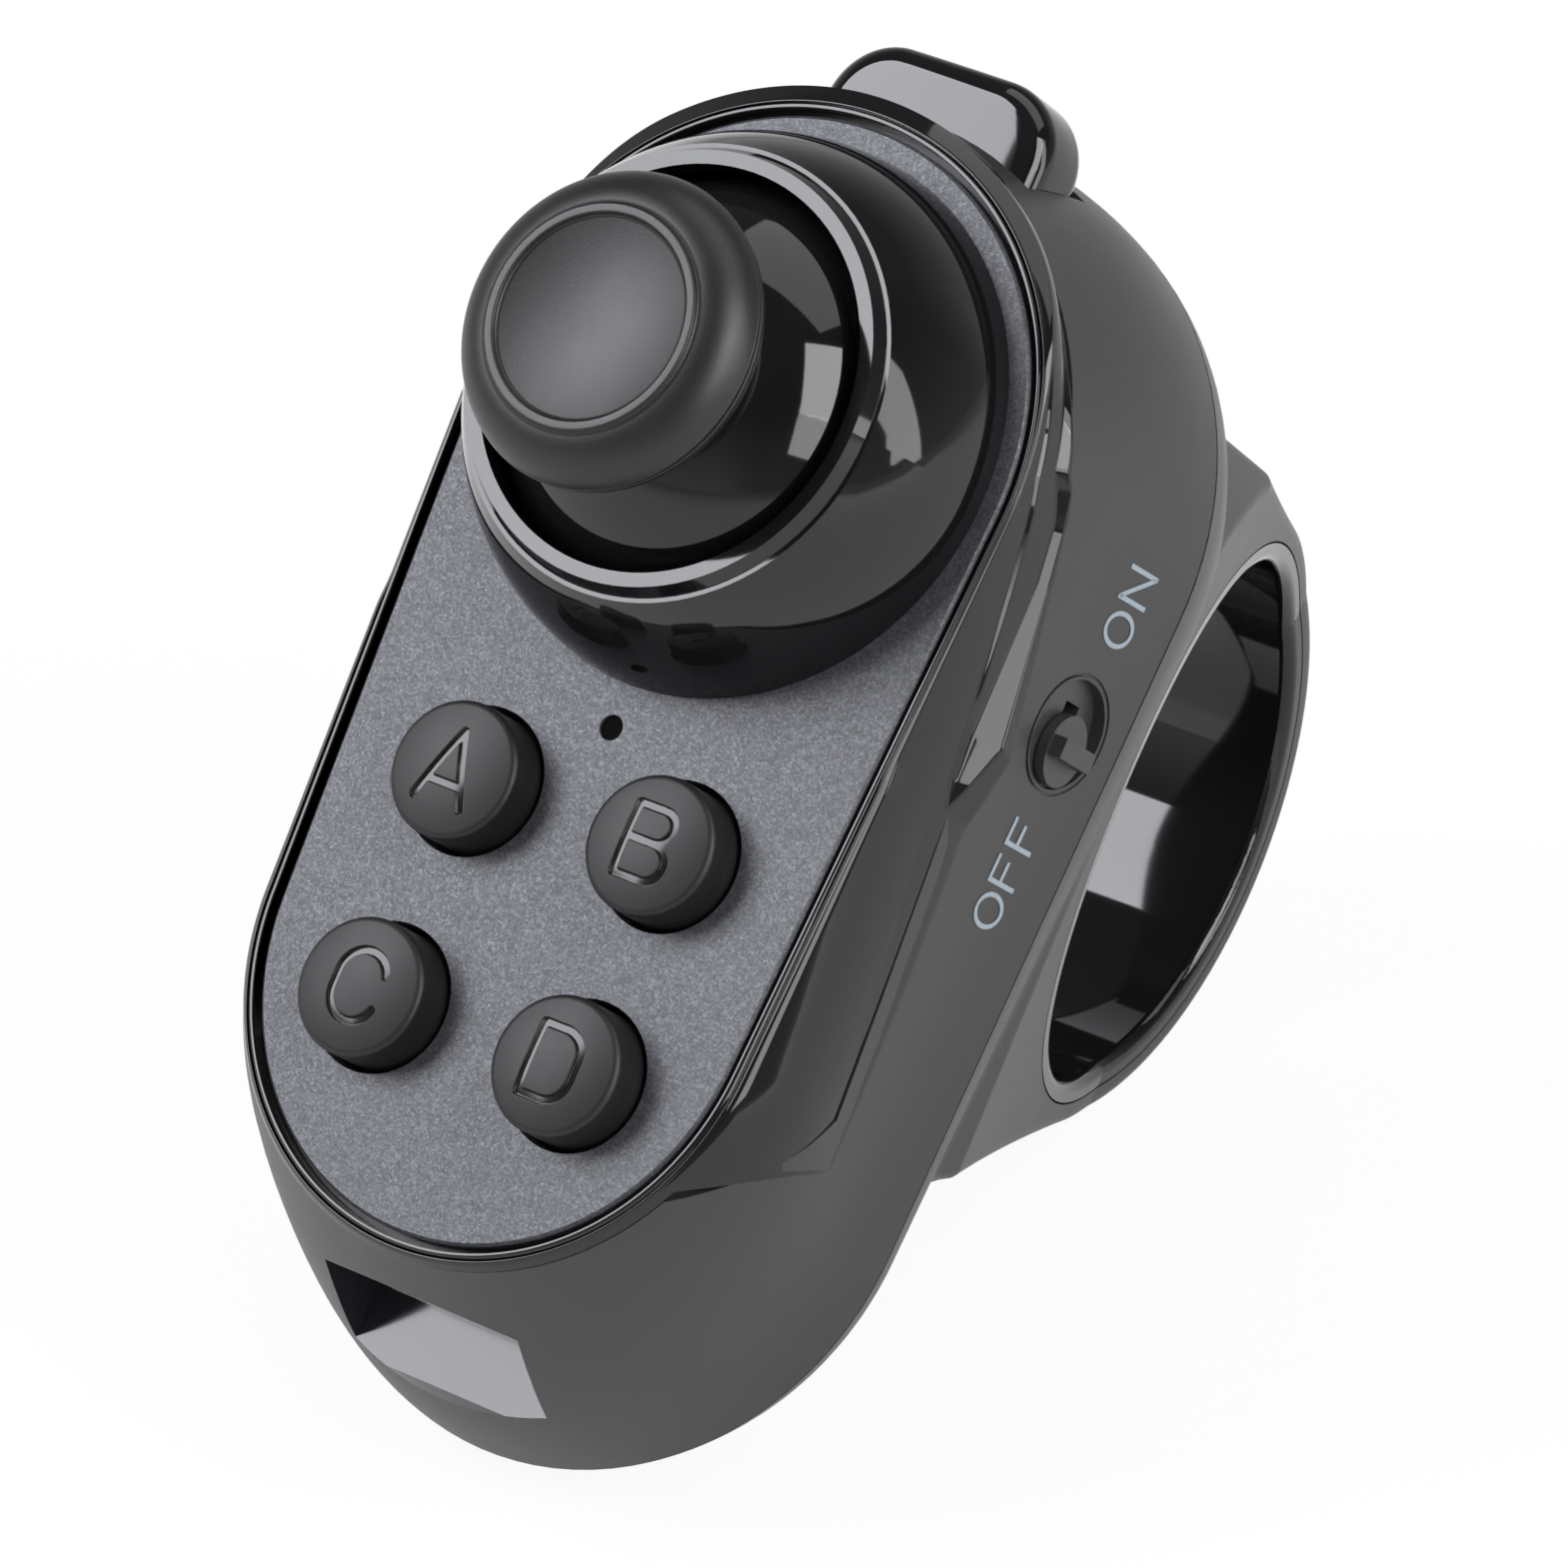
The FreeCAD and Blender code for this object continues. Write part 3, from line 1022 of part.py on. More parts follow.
cell = block("cell_block", ("-cell_half", "cell_half"), ("-cell_front - cell_length", "-cell_front"),
             (CELL_TOP + " - cell_thickness", CELL_TOP))
keep(rounded("battery_cell", cell, lambda e: along(e, "y"), "cell_round"))
keep(group("battery_pad", [block("tape", ("cell_round - cell_half", "cell_half - cell_round"),
                                 ("-cell_front - cell_length + cell_round",
                                  "-cell_front - cell_round"),
                                 (CELL_TOP, "-board_depth - board_thickness"))]))
LEAD_Z = CELL_TOP + " - cell_thickness / 2"
LEAD_Y = "-cell_front + lead_stub"
leads = []
for side in ("-", ""):
    bend = doc.addObject("Part::Torus", "lead_bend")
    bend.setExpression("Radius1", bound("lead_bend"))
    bend.setExpression("Radius2", bound("lead_radius"))
    bend.Angle3 = 90
    bend.Placement = Placement(Vector(), RODS["x"])
    bend.setExpression("Placement.Base.x", bound(side + "lead_x"))
    bend.setExpression("Placement.Base.y", bound(LEAD_Y))
    bend.setExpression("Placement.Base.z", bound(LEAD_Z + " + lead_bend"))
    leads.append(join("lead", [
        rod("lead_start", "y", "lead_radius", "-cell_front", LEAD_Y, (side + "lead_x", LEAD_Z)),
        bend,
        rod("lead_end", "z", "lead_radius", LEAD_Z + " + lead_bend",
            "-board_depth - board_thickness", (side + "lead_x", LEAD_Y + " + lead_bend"))]))
keep(group("battery_leads", leads))

# Trigger: glossy bar that slides in its window, with a flange behind the wall and a pusher

trigger_bar = new_body("trigger_bar")
trigger_bar.setExpression("Placement.Base.z", bound(TRIGGER_LOW))
trigger_sketch = body_sketch(trigger_bar, "trigger_plan", "XY_Plane")
INNER_FACE = "trigger_shoulder - trigger_flange"
draw_outline(trigger_sketch, [
    ("-trigger_half", INNER_FACE),
    ("trigger_half", INNER_FACE),
    ("trigger_half", "trigger_reach - trigger_corner"),
    ("trigger_half - trigger_corner", "trigger_reach"),
    ("trigger_corner - trigger_half", "trigger_reach"),
    ("-trigger_half", "trigger_reach - trigger_corner")],
    {2: "trigger_corner", 4: "trigger_corner"})
trigger_pad = pad(trigger_bar, trigger_sketch, "trigger_height")
doc.recompute()
trigger_edges = trigger_bar.newObject("PartDesign::Fillet", "trigger_edges")
trigger_edges.Base = (trigger_pad, ["Edge%d" % i for i, e in enumerate(trigger_pad.Shape.Edges, start=1)
                                    if not along(e, "z")
                                    and max(v.Y for v in e.Vertexes) > size("trigger_shoulder")])
trigger_edges.setExpression("Radius", bound("trigger_edge"))
PUSH_Z = "trigger_switch_height / 2 - board_depth"
PUSH_END = "trigger_switch_end + trigger_travel + press_margin"
WELL_END = "trigger_switch_end - trigger_switch_length + switch_floor"
keep(join("trigger_button", [
    trigger_bar,
    block("trigger_flange_block", ("-trigger_half - trigger_lip", "trigger_half + trigger_lip"),
          (INNER_FACE, "trigger_shoulder"),
          (TRIGGER_LOW + " - trigger_lip", "trigger_lip - trigger_top")),
    rod("trigger_pusher", "y", "trigger_plunger + trigger_lip", PUSH_END, INNER_FACE, ("0", PUSH_Z))]))
keep(group("trigger_plunger", [rod("trigger_pin", "y", "trigger_plunger",
                                   WELL_END + " + trigger_travel + press_margin / 2", PUSH_END,
                                   ("0", PUSH_Z))]))
keep(cut("trigger_switch", block("trigger_case", ("-trigger_switch_half", "trigger_switch_half"),
                                 ("trigger_switch_end - trigger_switch_length",
                                  "trigger_switch_end"),
                                 ("-board_depth", "trigger_switch_height - board_depth")),
         rod("trigger_well", "y", "trigger_plunger + running_play", WELL_END, "trigger_reach",
             ("0", PUSH_Z))))

# Power slider: ribbed disc in the oval well, its lever through the wall into the switch

DISC_BACK = "slide_face - slide_disc_depth"
LEVER_TIP = "slide_face - slide_disc_depth - lever_depth"
keep(join("power_slider", [
    rod("slider_disc", "x", "slide_disc", DISC_BACK, "slide_face", ("slide_y", "slide_z")),
    block("slider_rib", (DISC_BACK, "slide_face + slide_rib_height"),
          ("slide_y - slide_rib / 2", "slide_y + slide_rib / 2"),
          ("slide_z - slide_rib_length / 2", "slide_z + slide_rib_length / 2")),
    block("slider_lever", (LEVER_TIP, "slide_face"),
          ("slide_y - lever_side / 2", "slide_y + lever_side / 2"),
          ("slide_z - lever_side / 2", "slide_z + lever_side / 2"))]))
CASE_FACE = LEVER_TIP + " + lever_grip"
MID_Y = "slide_y + slide_travel / 2"
keep(cut("slide_switch", block("slide_case", (CASE_FACE + " - slide_case_width", CASE_FACE),
                               (MID_Y + " - slide_case_length / 2", MID_Y + " + slide_case_length / 2"),
                               ("-board_depth - board_thickness - slide_case_height",
                                "-board_depth - board_thickness")),
         block("case_slot", (LEVER_TIP + " - slide_play", "slide_face"),
               ("slide_y - " + LEVER_HALF, "slide_y + slide_travel + " + LEVER_HALF),
               ("slide_z - " + LEVER_HALF, "slide_z + " + LEVER_HALF))))

# Screws: three hold the shells together from below, two hold the board


def screws(label, places, seat, tip):
    """A group of pan head screws that point up, heads under their seat."""
    made = []
    for x, y in places:
        made.append(join("screw", [
            rod("screw_head_disc", "z", "screw_head", seat + " - screw_head_height", seat, (x, y)),
            rod("screw_shank_rod", "z", "screw_shank", seat, tip, (x, y))]))
    return keep(group(label, made))


screws("housing_screws", SCREWS, SEAT, "screw_bite - seam_depth")
screws("board_screws", [(side + "board_post_x", "-button_y") for side in ("-", "")],
       "-board_depth - board_thickness", "board_screw_length - board_thickness - board_depth")

# Resting pose: the assembly is tipped about X until ring and nose touch the table together

doc.recompute()
skin = [Vector(p) for p in rear_shell.Shape.tessellate(0.03)[0]]
ring_points = [p for p in skin if p.z < size("-ring_depth")]
nose_points = [p for p in skin if p.y < size("-plate_span - ring_back")]


def lowest(points, tilt):
    """Height of the lowest of some points after a tilt about X."""
    return min(p.y * math.sin(tilt) + p.z * math.cos(tilt) for p in points)


flatter, steeper = 0.0, math.pi / 2
for step in range(40):
    tilt = (flatter + steeper) / 2
    if lowest(ring_points, tilt) < lowest(nose_points, tilt):
        flatter = tilt
    else:
        steeper = tilt
tipped = Placement(Vector(), Rotation(Vector(1, 0, 0), math.degrees(tilt)))

for piece, place in pieces:
    piece.Placement = tipped.multiply(place)
doc.recompute()
box = FreeCAD.BoundBox()
for piece, place in pieces:
    box.add(piece.Shape.optimalBoundingBox(True, False))
stand = Placement(Vector(-box.Center.x, -box.Center.y, -box.ZMin), Rotation()).multiply(tipped)
for piece, place in pieces:
    piece.Placement = stand.multiply(place)
doc.recompute()

# Every object is tested before anything is written

faults = [o.Label for o in doc.Objects if "Invalid" in o.State or "Error" in o.State]
faults += [p.Label for p, place in pieces if p.Shape.isNull() or not p.Shape.isValid()]
if faults:
    raise RuntimeError("these did not build: " + ", ".join(faults))

os.makedirs("parts", exist_ok=True)
for piece, place in pieces:
    piece.Shape.exportStep("parts/%s.step" % piece.Label)
    print("%-18s %3d solids %10.2f mm3" % (piece.Label, len(piece.Shape.Solids), piece.Shape.Volume))
print("tilt %.2f degrees, box %.2f x %.2f x %.2f" % (math.degrees(tilt), box.XLength, box.YLength,
                                                     box.ZLength))
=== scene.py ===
"""Finish, light and camera for a thumb-stick game controller that is worn on a finger.

Sizes are written in millimetres in the face frame of the controller: the origin lies in the
middle of the face plate's upper round end, +X points at the slide switch, +Y at the trigger
and +Z straight out of the face.  placed() brings them into the row frame, in metres.
"""
import json
import math
import bmesh
import bpy
import numpy as np
from mathutils import Matrix, Vector


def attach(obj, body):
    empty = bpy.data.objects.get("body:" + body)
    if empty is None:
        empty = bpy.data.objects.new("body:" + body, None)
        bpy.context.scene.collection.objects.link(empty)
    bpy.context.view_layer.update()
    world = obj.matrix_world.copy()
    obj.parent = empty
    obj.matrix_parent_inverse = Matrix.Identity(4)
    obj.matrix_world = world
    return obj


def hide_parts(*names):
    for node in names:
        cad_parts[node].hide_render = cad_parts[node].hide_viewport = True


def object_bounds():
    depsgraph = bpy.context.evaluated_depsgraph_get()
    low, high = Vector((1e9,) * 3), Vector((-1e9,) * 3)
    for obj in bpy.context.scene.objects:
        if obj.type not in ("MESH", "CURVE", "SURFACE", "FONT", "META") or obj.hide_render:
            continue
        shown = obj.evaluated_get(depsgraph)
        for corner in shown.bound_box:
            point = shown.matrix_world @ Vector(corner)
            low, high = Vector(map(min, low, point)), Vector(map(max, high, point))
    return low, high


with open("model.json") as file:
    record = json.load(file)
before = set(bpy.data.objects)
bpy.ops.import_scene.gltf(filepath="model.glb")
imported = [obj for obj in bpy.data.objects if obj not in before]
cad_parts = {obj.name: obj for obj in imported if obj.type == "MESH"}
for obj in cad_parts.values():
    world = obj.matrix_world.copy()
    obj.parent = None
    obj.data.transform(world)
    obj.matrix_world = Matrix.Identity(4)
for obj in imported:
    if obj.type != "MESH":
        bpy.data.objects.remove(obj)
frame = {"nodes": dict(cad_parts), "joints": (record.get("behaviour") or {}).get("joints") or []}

cad_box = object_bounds()

# Camera
# A long lens looks down on the face from the nose end, a little from the switch side, rolled so
# that the controller stands on end.  Its place is given in the face frame, which comes from
# button A's axis, the stick's sideways axis and the stick's pivot.

MM = 0.001
STICK_Y = -0.2
PIVOT_DEPTH = 0.9
EYE = (224.955, -44.811, 359.720)
LOOK_RIGHT = (0.802767, 0.393057, -0.448409)
LOOK_DOWN = (0.304482, -0.916770, -0.258502)
FRAME_SIDE = 1569
FOCAL_PIXELS = 9547.6
SENSOR = 36.0

joints = {joint["name"]: joint for joint in frame["joints"]}
outward = -Vector(joints["button_a_press"]["axis"])
towards_trigger = Vector(joints["stick_tilt_side"]["axis"])
sideways = towards_trigger.cross(outward)
pivot = Vector(joints["stick_tilt_fore_aft"]["pos_m"])
face_origin = pivot + outward * PIVOT_DEPTH * MM - towards_trigger * STICK_Y * MM
FACE = np.array([sideways, towards_trigger, outward])


def placed(points):
    """Points of the face frame, in millimetres, as points of the row frame, in metres:
    origin + MM * (x * sideways + y * towards_trigger + z * outward)."""
    return np.array(face_origin) + MM * np.asarray(points, float) @ FACE


def turned_out(direction):
    """A direction of the face frame in the row frame."""
    return Vector(np.asarray(direction, float) @ FACE)


camera_data = bpy.data.cameras.new("camera")
camera_data.sensor_width = SENSOR
camera_data.lens = SENSOR * FOCAL_PIXELS / FRAME_SIDE
camera_data.clip_start = 0.01
camera = bpy.data.objects.new("camera", camera_data)
right = turned_out(LOOK_RIGHT).normalized()
up = -turned_out(LOOK_DOWN).normalized()
back = right.cross(up).normalized()
up = back.cross(right)
camera_turn = Matrix((right, up, back)).transposed().to_4x4()
camera.matrix_world = Matrix.Translation(Vector(placed(EYE))) @ camera_turn
bpy.context.scene.collection.objects.link(camera)
bpy.context.scene.camera = camera
bpy.context.scene.view_settings.view_transform = "Standard"

# Table, backdrop and light
# A white sweep under the controller.  One window-like soft box stands where level faces mirror
# it to the camera, three smaller ones stand to the right, and a large dim one over the trigger.

FLOOR_SIDE = 6.0
FLOOR_SEEN = 0.93
FLOOR_MIRRORED = 0.34
LAMP_DISTANCE = 0.7
SKY = 0.22
BACKDROP = 0.95
HORIZON = 0.6
OVERHEAD = 0.10
OVERHEAD_HEIGHT = 0.55
FLAG_START = 0.35
FLAG_BLEND = 0.25
FLAG_SHADE = 0.5
WHITE = (1.0, 1.0, 1.0)
COOL_WHITE = (0.95, 0.96, 1.0)


class Socket:
    """A node's output.  Arithmetic on it adds Math nodes to its tree."""

    def __init__(self, shading, output):
        self.shading = shading
        self.output = output

    def maths(self, operation, *values):
        return self.shading.node("ShaderNodeMath", {"operation": operation}, *values)

    def __add__(self, other):
        return self.maths("ADD", self, other)

    def __sub__(self, other):
        return self.maths("SUBTRACT", self, other)

    def __rsub__(self, other):
        return self.maths("SUBTRACT", other, self)

    def __mul__(self, other):
        return self.maths("MULTIPLY", self, other)

    def __truediv__(self, other):
        return self.maths("DIVIDE", self, other)

    def __pow__(self, other):
        return self.maths("POWER", self, other)

    def __abs__(self):
        return self.maths("ABSOLUTE", self)

    def clamped(self):
        """The value, kept between 0 and 1."""
        return self.maths("MINIMUM", self.maths("MAXIMUM", self, 0.0), 1.0)

    __radd__ = __add__
    __rmul__ = __mul__


class Shading:
    """A node tree that is filled through one method."""

    def __init__(self, tree):
        self.tree = tree

    def node(self, kind, settings, *values, output=0, **named):
        """Adds a node, sets it up, fills its inputs in order or by name, returns an output."""
        made = self.tree.nodes.new(kind)
        for key, value in settings.items():
            setattr(made, key, value)
        for where, value in [*enumerate(values), *named.items()]:
            socket = made.inputs[where if isinstance(where, int) else where.replace("_", " ")]
            if isinstance(value, Socket):
                self.tree.links.new(value.output, socket)
            else:
                socket.default_value = value
        return Socket(self, made.outputs[output])


class Finish(Shading):
    """A material with one Principled shader, whose parts are added as the piece needs."""

    def __init__(self, name, colour, roughness, **constants):
        self.material = bpy.data.materials.new(name)
        self.material.use_nodes = True
        super().__init__(self.material.node_tree)
        self.shader = self.tree.nodes["Principled BSDF"]
        self.shader.inputs["Base Color"].default_value = (*colour, 1.0)
        self.shader.inputs["Roughness"].default_value = roughness
        for socket, value in constants.items():
            self.shader.inputs[socket.replace("_", " ")].default_value = value
        self.place = self.node("ShaderNodeTexCoord", {}, output="Object")

    def drive(self, socket, value):
        """Links what varies over the surface to one of the shader's inputs."""
        self.tree.links.new(value.output, self.shader.inputs[socket])

    def noise(self, scale, detail=2.0, roughness=0.5):
        """Noise whose grains are about 1 / scale metres wide."""
        return self.node("ShaderNodeTexNoise", {}, Vector=self.place, Scale=scale,
                         Detail=detail, Roughness=roughness, output="Fac")

    def cells(self, scale):
        """Red and green of random flakes, about 1 / scale metres wide, as two values."""
        flakes = self.node("ShaderNodeTexVoronoi", {}, Vector=self.place, Scale=scale, output="Color")
        return [self.node("ShaderNodeSeparateColor", {}, flakes, output=i) for i in (0, 1)]

    def depth(self, direction):
        """Distance from the face's origin along a direction, in millimetres."""
        start = float(face_origin.dot(direction))
        reach = self.node("ShaderNodeVectorMath", {"operation": "DOT_PRODUCT"}, self.place,
                          tuple(direction), output="Value")
        return (reach - start) * (1 / MM)

    def between(self, share, low, high):
        """A colour between two colours.  The mix takes its share at input 0, its colours at 6
        and 7."""
        mixed = self.node("ShaderNodeMix", {"data_type": "RGBA"}, output=2)
        inputs = mixed.output.node.inputs
        self.tree.links.new(share.output, inputs[0])
        inputs[6].default_value = (*low, 1.0)
        inputs[7].default_value = (*high, 1.0)
        return mixed

    def bump(self, height, strength, distance):
        """Raises the surface by a height map; distance is in metres."""
        return self.node("ShaderNodeBump", {}, Strength=strength, Distance=distance, Height=height)


floor_mesh = bpy.data.meshes.new("floor")
half = FLOOR_SIDE / 2
floor_mesh.from_pydata([(-half, -half, 0), (half, -half, 0), (half, half, 0), (-half, half, 0)],
                       [], [(0, 1, 2, 3)])
floor = bpy.data.objects.new("floor", floor_mesh)
bpy.context.scene.collection.objects.link(floor)

white_floor = Finish("white_floor", (0.80, 0.80, 0.80), 0.9)
to_eye = white_floor.node("ShaderNodeLightPath", {}, output="Is Camera Ray")
to_gloss = white_floor.node("ShaderNodeLightPath", {}, output="Is Glossy Ray")
glow = white_floor.node("ShaderNodeEmission", {}, Color=(*WHITE, 1.0), Strength=1.0,
                        output="Emission")
seen = white_floor.node("ShaderNodeMixShader", {},
                        (to_eye * FLOOR_SEEN + to_gloss * FLOOR_MIRRORED).clamped(),
                        Socket(white_floor, white_floor.shader.outputs[0]), glow, output="Shader")
surface = white_floor.tree.nodes["Material Output"].inputs["Surface"]
white_floor.tree.links.new(seen.output, surface)
floor_mesh.materials.append(white_floor.material)

# What a gloss mirrors is pale at the horizon, dark overhead and shaded to the right
world = bpy.data.worlds.new("studio")
bpy.context.scene.world = world
world.use_nodes = True
studio = Shading(world.node_tree)
to_eye = studio.node("ShaderNodeLightPath", {}, output="Is Camera Ray")
to_gloss = studio.node("ShaderNodeLightPath", {}, output="Is Glossy Ray")
way = studio.node("ShaderNodeTexCoord", {}, output="Generated")
to_right, to_top = [studio.node("ShaderNodeSeparateXYZ", {}, way, output=i) for i in (0, 2)]
overhead = (to_top / OVERHEAD_HEIGHT).clamped()
flag = ((to_right - FLAG_START) / FLAG_BLEND).clamped()
mirrored = (HORIZON + (OVERHEAD - HORIZON) * overhead) * (1 - (1 - FLAG_SHADE) * flag)
strength = SKY + (mirrored - SKY) * to_gloss + (BACKDROP - SKY) * to_eye
background = world.node_tree.nodes["Background"]
background.inputs["Color"].default_value = (*WHITE, 1.0)
world.node_tree.links.new(strength.output, background.inputs["Strength"])

box_middle = (cad_box[0] + cad_box[1]) / 2


def soft_box(name, direction, across, width, height, radiance, colour=WHITE):
    """A rectangular lamp that faces the controller from a direction of the face frame.
    Its width runs along across, and radiance is how many times brighter than white it is."""
    towards = turned_out(direction).normalized()
    level = turned_out(across)
    level = (level - towards * level.dot(towards)).normalized()
    lamp = bpy.data.lights.new(name, "AREA")
    lamp.shape = "RECTANGLE"
    lamp.size = width
    lamp.size_y = height
    lamp.energy = radiance * math.pi * width * height
    lamp.color = colour
    box = bpy.data.objects.new(name, lamp)
    turned = Matrix((level, towards.cross(level), towards)).transposed().to_4x4()
    box.matrix_world = Matrix.Translation(box_middle + towards * LAMP_DISTANCE) @ turned
    bpy.context.scene.collection.objects.link(box)


soft_box("window_front", (-0.565, 0.175, 0.805), (-0.82, 0.34, -0.47), 0.32, 0.48, 9.6, COOL_WHITE)
soft_box("window_right", (0.74, 0.40, 0.50), (0.0, 1.0, 0.2), 0.38, 0.28, 7.5)
soft_box("window_side", (0.86, 0.0, 0.48), (0.0, 1.0, 0.2), 0.24, 0.30, 5.0)
soft_box("window_low", (0.90, 0.37, 0.12), (-0.25, 0.54, 0.38), 0.50, 0.18, 4.5)
soft_box("ceiling_back", (0.1, 0.93, 0.35), (1.0, 0.0, 0.0), 0.7, 0.4, 1.6)

# Inner works
# What the shells hide: the stick's module, the board with its parts, the cell and the screws.
# Each row is a finish: its name, colour, roughness, metallic share, grain and nodes.

SHADE_SPREAD = 0.15
WORKS = (
    ("bright_steel", (0.55, 0.55, 0.56), 0.28, 1.0, 900.0,
     ("stick_shaft", "stick_pin", "centering_spring", "housing_screws", "board_screws",
      "charging_port", "crystal_can")),
    ("inner_plastic", (0.09, 0.09, 0.09), 0.5, 0.0, 3000.0,
     ("lower_bow", "upper_bow", "stick_frame", "centering_disc", "plunger_a", "plunger_b",
      "plunger_c", "plunger_d", "trigger_plunger", "tilt_sensor_x", "tilt_sensor_y",
      "push_switches", "trigger_switch", "slide_switch")),
    ("clear_pipe", (0.5, 0.5, 0.5), 0.15, 0.0, 3000.0, ("power_led",)),
    ("solder_mask", (0.015, 0.10, 0.04), 0.35, 0.0, 1500.0, ("main_board",)),
    ("chip_case", (0.018, 0.018, 0.018), 0.5, 0.0, 6000.0, ("radio_chip", "charging_chip")),
    ("cell_foil", (0.6, 0.6, 0.62), 0.3, 1.0, 700.0, ("battery_cell",)),
    ("foam_tape", (0.08, 0.08, 0.08), 0.9, 0.0, 5000.0, ("battery_pad",)),
    ("red_lead", (0.35, 0.03, 0.03), 0.45, 0.0, 2500.0, ("battery_leads",)),
)


def dress(finish, *nodes):
    """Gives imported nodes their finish."""
    for node in nodes:
        for slot in frame["nodes"][node].material_slots:
            slot.material = finish.material


for name, colour, roughness, metallic, scale, nodes in WORKS:
    work = Finish(name, colour, roughness, Metallic=metallic)
    grain = work.noise(scale, 3.0)
    darker = tuple((1 - SHADE_SPREAD) * part for part in colour)
    lighter = tuple(min((1 + SHADE_SPREAD) * part, 1.0) for part in colour)
    work.drive("Roughness", roughness * 0.8 + 0.4 * roughness * grain)
    work.drive("Base Color", work.between(grain, darker, lighter))
    work.drive("Normal", work.bump(grain, 0.1, 0.00003))
    dress(work, *nodes)

# Housing shells
# Two moulded halves of black ABS with a fine satin spark-eroded skin; the rear one carries
# the finger ring.  The recess for the charging plug is polished, and its colour is painted
# shade, a little darker and bluer than the satin.

NOTCH_HALF = 5.5
NOTCH_WALL = 42.05
NOTCH_FLOOR = 9.3
NOTCH_MARGIN = 0.04
NOTCH_SHARPNESS = 20
SATIN_COLOUR = (0.026, 0.026, 0.0255)
# Painted shade: the plug's recess is coloured darker and bluer than the satin.
NOTCH_PAINTED_SHADE = (0.020, 0.020, 0.026)
NOTCH_ROUGHNESS = 0.05


def past(distance):
    """Rises from 0 to 1 about a plane: (distance + margin) * sharpness, clamped."""
    return ((distance + NOTCH_MARGIN) * NOTCH_SHARPNESS).clamped()


satin = Finish("satin_black_abs", SATIN_COLOUR, 0.40, Specular_IOR_Level=0.5)
grain = satin.noise(9000.0, 3.0, 0.6)
mottle = satin.noise(400.0, 2.0)
inside_notch = (past(NOTCH_HALF - abs(satin.depth(sideways)))
                * past(-NOTCH_WALL - satin.depth(towards_trigger))
                * past(satin.depth(outward) + NOTCH_FLOOR))
satin_roughness = 0.36 + 0.05 * mottle + 0.05 * grain
# The plug's recess gets its painted shade colour here; its polish is the roughness on the next line.
satin.drive("Base Color", satin.between(inside_notch, SATIN_COLOUR, NOTCH_PAINTED_SHADE))
satin.drive("Roughness", satin_roughness * (1 - inside_notch) + NOTCH_ROUGHNESS * inside_notch)
satin.drive("Normal", satin.bump(grain * (1 - inside_notch), 0.12, 0.00004))
dress(satin, "front_shell", "rear_shell", "power_slider")

# Trim round the face
# Polished black ABS, moulded in one piece and snapped over the front shell.  Next to the
# plate it has a fine double bead, then a wide facet, a crease, and a lip over the shell.

RIM_LEVELS = (0.12, -4.5, -9.3, -14.3)
TAIL_RADII = (14.75, 15.35, 15.9, 16.55)
TAIL_ENDS = (14.75, 15.8, 16.7, 16.65)
NOSE_RADII = (13.35, 15.2, 14.9, 15.65)
NOSE_ENDS = (40.45, 43.2, 45.75, 47.15)
STRETCHES = (21.0, 28.0, 46.0, 28.0, 21.0)
STATIONS = 960
FLANK_DEPTH = -3.0

# Lines on the trim's flank, seen from the side: y along the face, then depths below the plate
EDGE_Y = (-47.0, -34.0, -27.4, -25.0, -20.0, -10.0, -2.2, 0.5, 2.7, 7.0, 15.8)
EDGE_Z = (-0.45, -0.45, -7.2, -7.45, -7.0, -5.5, -4.15, -3.4, -2.35, -1.6, -0.95)
CREASE_Y = (-14.0, -10.0, -3.2, -0.2, 2.2, 7.0, 15.8)
CREASE_Z = (-4.1, -3.2, -1.95, -1.3, -0.65, -0.2, -0.12)
FOLD_Y = (-47.0, -34.0, -27.4, -22.6, -18.2, -14.1, -11.2)
FOLD_Z = (-0.3, -0.3, -6.7, -5.15, -4.1, -3.25, -2.2)
LIP_Y = (-13.2, -9.7, -2.5, 0.1, 1.8, 2.7, 7.0, 15.8)
LIP_TOP = (-3.95, -3.45, -3.5, -3.0, -2.2, -1.65, -1.3, -0.7)
LIP_LOW = (-3.95, -4.5, -3.85, -3.3, -2.65, -2.05, -1.55, -0.9)

# How far each form stands out or is drawn in, and the stretches over which it comes and goes:
# COMES is y from where it is not there to where it is full, and GOES is the same for -y
CREASE_OUT = 0.13
CREASE_DROP = 0.15
CREASE_COMES = (-13.5, -11.5)
FLANK_GOES = (-8.0, -3.0)
LIP_ROUND = 0.12
FOLD_IN = 0.14
FOLD_COMES = (-33.0, -26.0)
FOLD_GOES = (11.0, 15.0)
SHOULDER_OUT = 0.6
SHOULDER_DROP = 1.1
SHOULDER_COMES = (5.0, 12.0)
PROUD = 0.04
PROUD_COMES = (-36.0, -30.0)
FACET_TOP = -0.1
EDGE_ROUND = 0.05
EDGE_IN = 0.12
BACK_IN = 0.55
BACK_SHARE = 0.9
BACK_DROP = 0.06
SHORTEST = 0.05
THINNEST = 0.01
FACET_STEPS = (14, 6, 10, 8, 8)

# The double bead: how far out from the housing's outline, and how high over the plate
BEAD = ((-0.47, -0.6), (-0.47, -0.05), (-0.455, 0.05), (-0.435, 0.095), (-0.415, 0.115),
        (-0.395, 0.12), (-0.335, 0.122), (-0.275, 0.12), (-0.255, 0.112), (-0.235, 0.085),
        (-0.225, 0.04), (-0.215, -0.05), (-0.205, -0.15), (-0.17, -0.18), (-0.145, -0.15),
        (-0.14, -0.05), (-0.135, 0.0), (-0.125, 0.03), (-0.11, 0.04), (-0.08, 0.042),
        (-0.05, 0.038), (-0.035, 0.02), (-0.025, -0.02), (-0.01, -0.07))
OUTER_BEAD = -0.15


